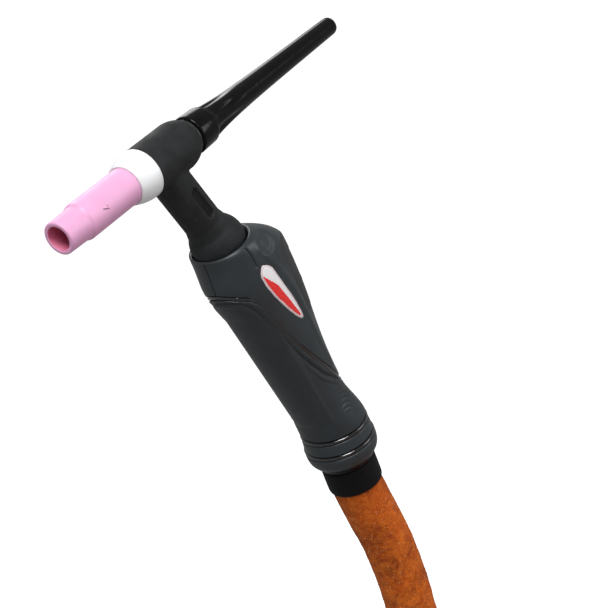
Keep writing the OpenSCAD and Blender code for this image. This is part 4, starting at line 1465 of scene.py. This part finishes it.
def leather_swell(travelled, a, p):
    """Uneven thickness, slack puckers and the raised nap of the leather sleeve."""
    slow = noise.noise(Vector((p.x, p.y, p.z)) * 0.03) * 0.28
    lumps = noise.noise(Vector((p.x, p.y, p.z)) * 0.16 + Vector((9, 2, 5))) * 0.24
    nap = noise.noise(Vector((p.x, p.y, p.z)) * 0.75) * 0.16
    start = smooth((travelled - 4) / 10)
    return (slow + lumps + nap - 0.1) * start - 0.12 * (1 - start)


class Rule:
    """A Geometry Nodes tree that is built in code, run once and turned into a plain mesh."""

    def __init__(self, name, inputs):
        self.tree = bpy.data.node_groups.new(name, "GeometryNodeTree")
        face = self.tree.interface
        face.new_socket("Geometry", in_out="INPUT", socket_type="NodeSocketGeometry")
        self.sockets = {}
        for key, kind in inputs:
            self.sockets[key] = face.new_socket(key, in_out="INPUT", socket_type=kind).identifier
        face.new_socket("Geometry", in_out="OUTPUT", socket_type="NodeSocketGeometry")
        self.given = self.tree.nodes.new("NodeGroupInput").outputs

    def node(self, kind, values=None, **settings):
        node = self.tree.nodes.new(kind)
        for key, value in settings.items():
            setattr(node, key, value)
        for key, value in (values or {}).items():
            if isinstance(value, bpy.types.NodeSocket):
                self.tree.links.new(value, node.inputs[key])
            else:
                node.inputs[key].default_value = value
        return node

    def finish(self, instances):
        """Ends the tree in Realize Instances, Set Material and the output."""
        real = self.node("GeometryNodeRealizeInstances", {"Geometry": instances})
        dressed = self.node("GeometryNodeSetMaterial",
                            {"Geometry": real.outputs[0], "Material": self.given["Material"]})
        self.node("NodeGroupOutput", {"Geometry": dressed.outputs[0]})

    def run(self, name, base, values):
        """Runs the tree on a copy of a mesh, with its inputs set by identifier."""
        holder = bpy.data.objects.new(name, base)
        bpy.context.scene.collection.objects.link(holder)
        modifier = holder.modifiers.new("Rule", "NODES")
        modifier.node_group = self.tree
        for key, value in values.items():
            modifier[self.sockets[key]] = value
        bake_modifiers(holder)
        return holder


def sleeve_nap(sleeve):
    """Short loose fibres that stand off the leather."""
    rule = Rule("Leather nap", (("Density", "NodeSocketFloat"), ("Length", "NodeSocketFloat"),
                                ("Thickness", "NodeSocketFloat"), ("Material", "NodeSocketMaterial")))
    spots = rule.node("GeometryNodeDistributePointsOnFaces",
                      {"Mesh": rule.given["Geometry"], "Density": rule.given["Density"], "Seed": 7})
    fibre = rule.node("GeometryNodeMeshCone", {
        "Vertices": 3, "Side Segments": 1, "Radius Top": 0.0, "Radius Bottom": rule.given["Thickness"],
        "Depth": rule.given["Length"]})
    lean = rule.node("FunctionNodeRandomValue", data_type="FLOAT_VECTOR")
    lean.inputs["Min"].default_value = (0.9, 0.0, 0.0)
    lean.inputs["Max"].default_value = (1.45, 0.0, TAU)
    lean.inputs["Seed"].default_value = 11
    turned = rule.node("FunctionNodeRotateRotation", {"Rotation": spots.outputs["Rotation"]})
    turned.rotation_space = "LOCAL"
    as_turn = rule.node("FunctionNodeEulerToRotation", {"Euler": lean.outputs[0]})
    rule.tree.links.new(as_turn.outputs[0], turned.inputs["Rotate By"])
    size = rule.node("FunctionNodeRandomValue", data_type="FLOAT")
    size.inputs[2].default_value = 0.45
    size.inputs[3].default_value = 1.5
    size.inputs["Seed"].default_value = 13
    hairs = rule.node("GeometryNodeInstanceOnPoints", {
        "Points": spots.outputs["Points"], "Instance": fibre.outputs["Mesh"],
        "Rotation": turned.outputs[0], "Scale": size.outputs[1]})
    rule.finish(hairs.outputs[0])
    emitter = sleeve.data.copy()
    bm = bmesh.new()
    bm.from_mesh(emitter)
    start = tail_point(-26) * MM
    bmesh.ops.delete(bm, context="FACES", geom=[
        f for f in bm.faces if (f.calc_center_median() - start).length < 0.0145
        or f.calc_center_median().z > start.z])
    bm.to_mesh(emitter)
    bm.free()
    return rule.run("sleeve_nap", emitter, {
        "Density": 90000.0, "Length": 0.0020, "Thickness": 0.00006, "Material": finish("nap")})


STITCH_PITCH = 5.0


def sleeve_stitches(path):
    """Waxed stitches along the sleeve's seam, on the side away from the badge."""
    rule = Rule("Seam stitches", (("Pitch", "NodeSocketFloat"), ("Length", "NodeSocketFloat"),
                                  ("Thickness", "NodeSocketFloat"), ("Material", "NodeSocketMaterial")))
    line = rule.node("GeometryNodeMeshToCurve", {"Mesh": rule.given["Geometry"]})
    spots = rule.node("GeometryNodeCurveToPoints",
                      {"Curve": line.outputs[0], "Length": rule.given["Pitch"]}, mode="LENGTH")
    stitch = rule.node("GeometryNodeMeshUVSphere", {"Segments": 8, "Rings": 6, "Radius": 1.0})
    half = rule.node("ShaderNodeCombineXYZ", {"X": rule.given["Thickness"], "Y": rule.given["Thickness"],
                                              "Z": rule.given["Length"]})
    stitches = rule.node("GeometryNodeInstanceOnPoints", {
        "Points": spots.outputs["Points"], "Instance": stitch.outputs["Mesh"],
        "Rotation": spots.outputs["Rotation"], "Scale": half.outputs[0]})
    rule.finish(stitches.outputs[0])
    rings = tube_points(path, sizes().lead / MM / 2 - 0.15, 56, leather_swell)
    seam = [ring[0] for ring in rings if (ring[0] - tail_point(-23)).length > 18]
    mesh = bpy.data.meshes.new("seam_line")
    mesh.from_pydata([tuple(p * MM) for p in seam], [(k, k + 1) for k in range(len(seam) - 1)], [])
    return rule.run("sleeve_stitches", mesh, {
        "Pitch": STITCH_PITCH * MM, "Length": 0.0018, "Thickness": 0.0005, "Material": finish("thread")})


class TORCH_OT_sleeve(bpy.types.Operator):
    """Leather-sleeved lead, from the knuckle to its wound turns and out to its cuff"""

    bl_idname = "torch.sleeve"
    bl_label = "Leather sleeve"

    def execute(self, context):
        s = sizes()
        exit_point = tail_point(-18.2)
        route = [exit_point, tail_point(-23)] + [Vector(p) for p in RUN_ROUTE]
        route += [Vector(p) for p in coil_route()] + [Vector(p) for p in TAIL_ROUTE]
        near, near_length = resample(route[:len(RUN_ROUTE) + 2], 1.6)
        path, total = resample(route, 3.2)
        seen = [p for p in near if (p - exit_point).length < 215]
        rest = [p for p in path if (p - exit_point).length > 216.5 or p.y < -8]
        whole = seen + rest
        piece = tube_piece("leather_sleeve", whole, s.lead / MM / 2 - 0.15, 56, leather_swell)
        piece.data.materials.append(finish("leather"))
        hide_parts("sleeve_run", "sleeve_coil", "sleeve_tail")
        nap = sleeve_nap(piece)
        seam = sleeve_stitches(whole)
        for soft, slot in ((piece, "leather"), (nap, "leather"), (seam, "leather")):
            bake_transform(soft)
        return {"FINISHED"}


class TORCH_OT_far_leads(bpy.types.Operator):
    """The three leads that come out of the cuff"""

    bl_idname = "torch.far_leads"
    bl_label = "Far leads"

    def execute(self, context):
        for node, route, radius, look, slot in (
                ("power_lead", POWER_ROUTE, 6.45, "hose", "hose_black"),
                ("gas_hose", GAS_ROUTE, 3.95, "hose_blue", "hose_blue"),
                ("control_lead", CONTROL_ROUTE, 2.75, "hose", "lead_grey")):
            path, total = resample(route, 2.0)
            piece = tube_piece(node + "_jacket", path, radius, 40)
            ride_as(piece, "torch", [node], finish(look))
        return {"FINISHED"}


class TORCH_OT_ties(bpy.types.Operator):
    """Woven straps round the wound turns"""

    bl_idname = "torch.ties"
    bl_label = "Coil ties"

    def execute(self, context):
        dress("coil_ties", "webbing")
        return {"FINISHED"}


class TORCH_OT_plugs(bpy.types.Operator):
    """Cuff, power plug, gas nut and control plug"""

    bl_idname = "torch.plugs"
    bl_label = "Cuff and plugs"

    def execute(self, context):
        for node, name in (("end_cuff", "hose"), ("plug_boot", "hose"), ("plug_pin", "brass"),
                           ("gas_nipple", "brass"), ("gas_nut", "brass"), ("control_plug", "button")):
            dress(node, name)
        return {"FINISHED"}


# ---- operators: stage -------------------------------------------------------------------

VIEW_FROM = Vector((-0.6034, -0.4773, 0.0417))
VIEW_TO = Vector((0.0097, 0.0, 0.0214))


class TORCH_OT_stage(bpy.types.Operator):
    """Pale floor, soft studio lights and the camera"""

    bl_idname = "torch.stage"
    bl_label = "Stage"

    def execute(self, context):
        scene = context.scene
        camera = bpy.data.objects.new("Camera", bpy.data.cameras.new("Camera"))
        camera.data.lens = 94.5
        camera.data.sensor_width = 36
        camera.data.clip_end = 50
        camera.location = VIEW_FROM
        camera.rotation_euler = (VIEW_TO - VIEW_FROM).to_track_quat("-Z", "Y").to_euler()
        scene.collection.objects.link(camera)
        scene.camera = camera
        floor = studio_floor()
        scene.view_settings.view_transform = "Standard"
        world = scene.world or bpy.data.worlds.new("World")
        scene.world = world
        world.use_nodes = True
        background = world.node_tree.nodes["Background"]
        background.inputs["Color"].default_value = (1, 1, 1, 1)
        background.inputs["Strength"].default_value = 0.34
        for name, place, size, power in (
                ("Key", (-1.15, -0.55, 1.15), 0.7, 24), ("Fill", (0.7, -1.6, 0.75), 0.9, 9),
                ("Rim", (0.5, 1.2, 1.2), 0.9, 7), ("Glint", (-1.1, -1.05, 0.55), 0.22, 2.5)):
            light = bpy.data.lights.new(name, "AREA")
            light.energy = power
            light.size = size
            lamp = bpy.data.objects.new(name, light)
            lamp.location = place
            lamp.rotation_euler = (Vector((0, 0, 0)) - Vector(place)).to_track_quat("-Z", "Y").to_euler()
            scene.collection.objects.link(lamp)
        return {"FINISHED"}


def studio_floor():
    """A floor that curves up into a pale backdrop all round."""
    level = SHELF_Z * MM - 0.0015
    rings = [(0.0, 0.0), (1.5, 0.0), (3.0, 0.0), (3.6, 0.05), (4.1, 0.2), (4.5, 0.5), (4.7, 1.0), (4.8, 4.0)]
    count = 96
    points = []
    for r, rise in rings[1:]:
        for k in range(count):
            a = TAU * k / count
            points.append((r * math.cos(a) / MM, r * math.sin(a) / MM, (level + rise) / MM))
    faces = [tuple(reversed(face)) for face in grid_faces(len(rings) - 1, count)]
    faces.append(tuple(range(count)))
    floor = mesh_piece("Floor", points, faces)
    surface = Finish("Pale floor", 0.9)
    surface.colour(surface.blend_colours(surface.speckle(3, 2), (0.93, 0.93, 0.93), (0.95, 0.95, 0.95)))
    surface.set("Emission Color", (1, 1, 1, 1))
    surface.set("Emission Strength", 0.72)
    floor.visible_glossy = False
    floor.visible_diffuse = False
    floor.data.materials.append(surface.material)
    return floor


# ---- panel and registration -------------------------------------------------------------

PIECES = (
    TORCH_OT_stage, TORCH_OT_far_leads, TORCH_OT_sleeve, TORCH_OT_ties, TORCH_OT_plugs, TORCH_OT_cover,
    TORCH_OT_nozzle, TORCH_OT_gasket, TORCH_OT_cap, TORCH_OT_inner_parts, TORCH_OT_shell, TORCH_OT_skin,
    TORCH_OT_badges, TORCH_OT_switches, TORCH_OT_screws, TORCH_OT_tail, TORCH_OT_knuckle)


class TORCH_PT_panel(bpy.types.Panel):
    """Sizes, finishes and pieces of the torch"""

    bl_idname = "TORCH_PT_panel"
    bl_label = "Torch"
    bl_space_type = "VIEW_3D"
    bl_region_type = "UI"
    bl_category = "Torch"

    def draw(self, context):
        groups = (("Sizes", context.scene.torch_sizes), ("Finishes", context.scene.torch_finishes))
        for title, group in groups:
            box = self.layout.box()
            box.label(text=title)
            for key in group.bl_rna.properties.keys():
                if key not in {"rna_type", "name"}:
                    box.prop(group, key)
        for piece in PIECES:
            self.layout.operator(piece.bl_idname)


CLASSES = (TorchSizes, TorchFinishes) + PIECES + (TORCH_PT_panel,)


def register():
    for cls in CLASSES:
        bpy.utils.register_class(cls)
    bpy.types.Scene.torch_sizes = bpy.props.PointerProperty(type=TorchSizes)
    bpy.types.Scene.torch_finishes = bpy.props.PointerProperty(type=TorchFinishes)


def unregister():
    del bpy.types.Scene.torch_finishes
    del bpy.types.Scene.torch_sizes
    for cls in reversed(CLASSES):
        bpy.utils.unregister_class(cls)


def main():
    register()
    for piece in PIECES:
        group, name = piece.bl_idname.split(".")
        getattr(getattr(bpy.ops, group), name)()
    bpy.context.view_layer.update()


if __name__ == "__main__":
    main()
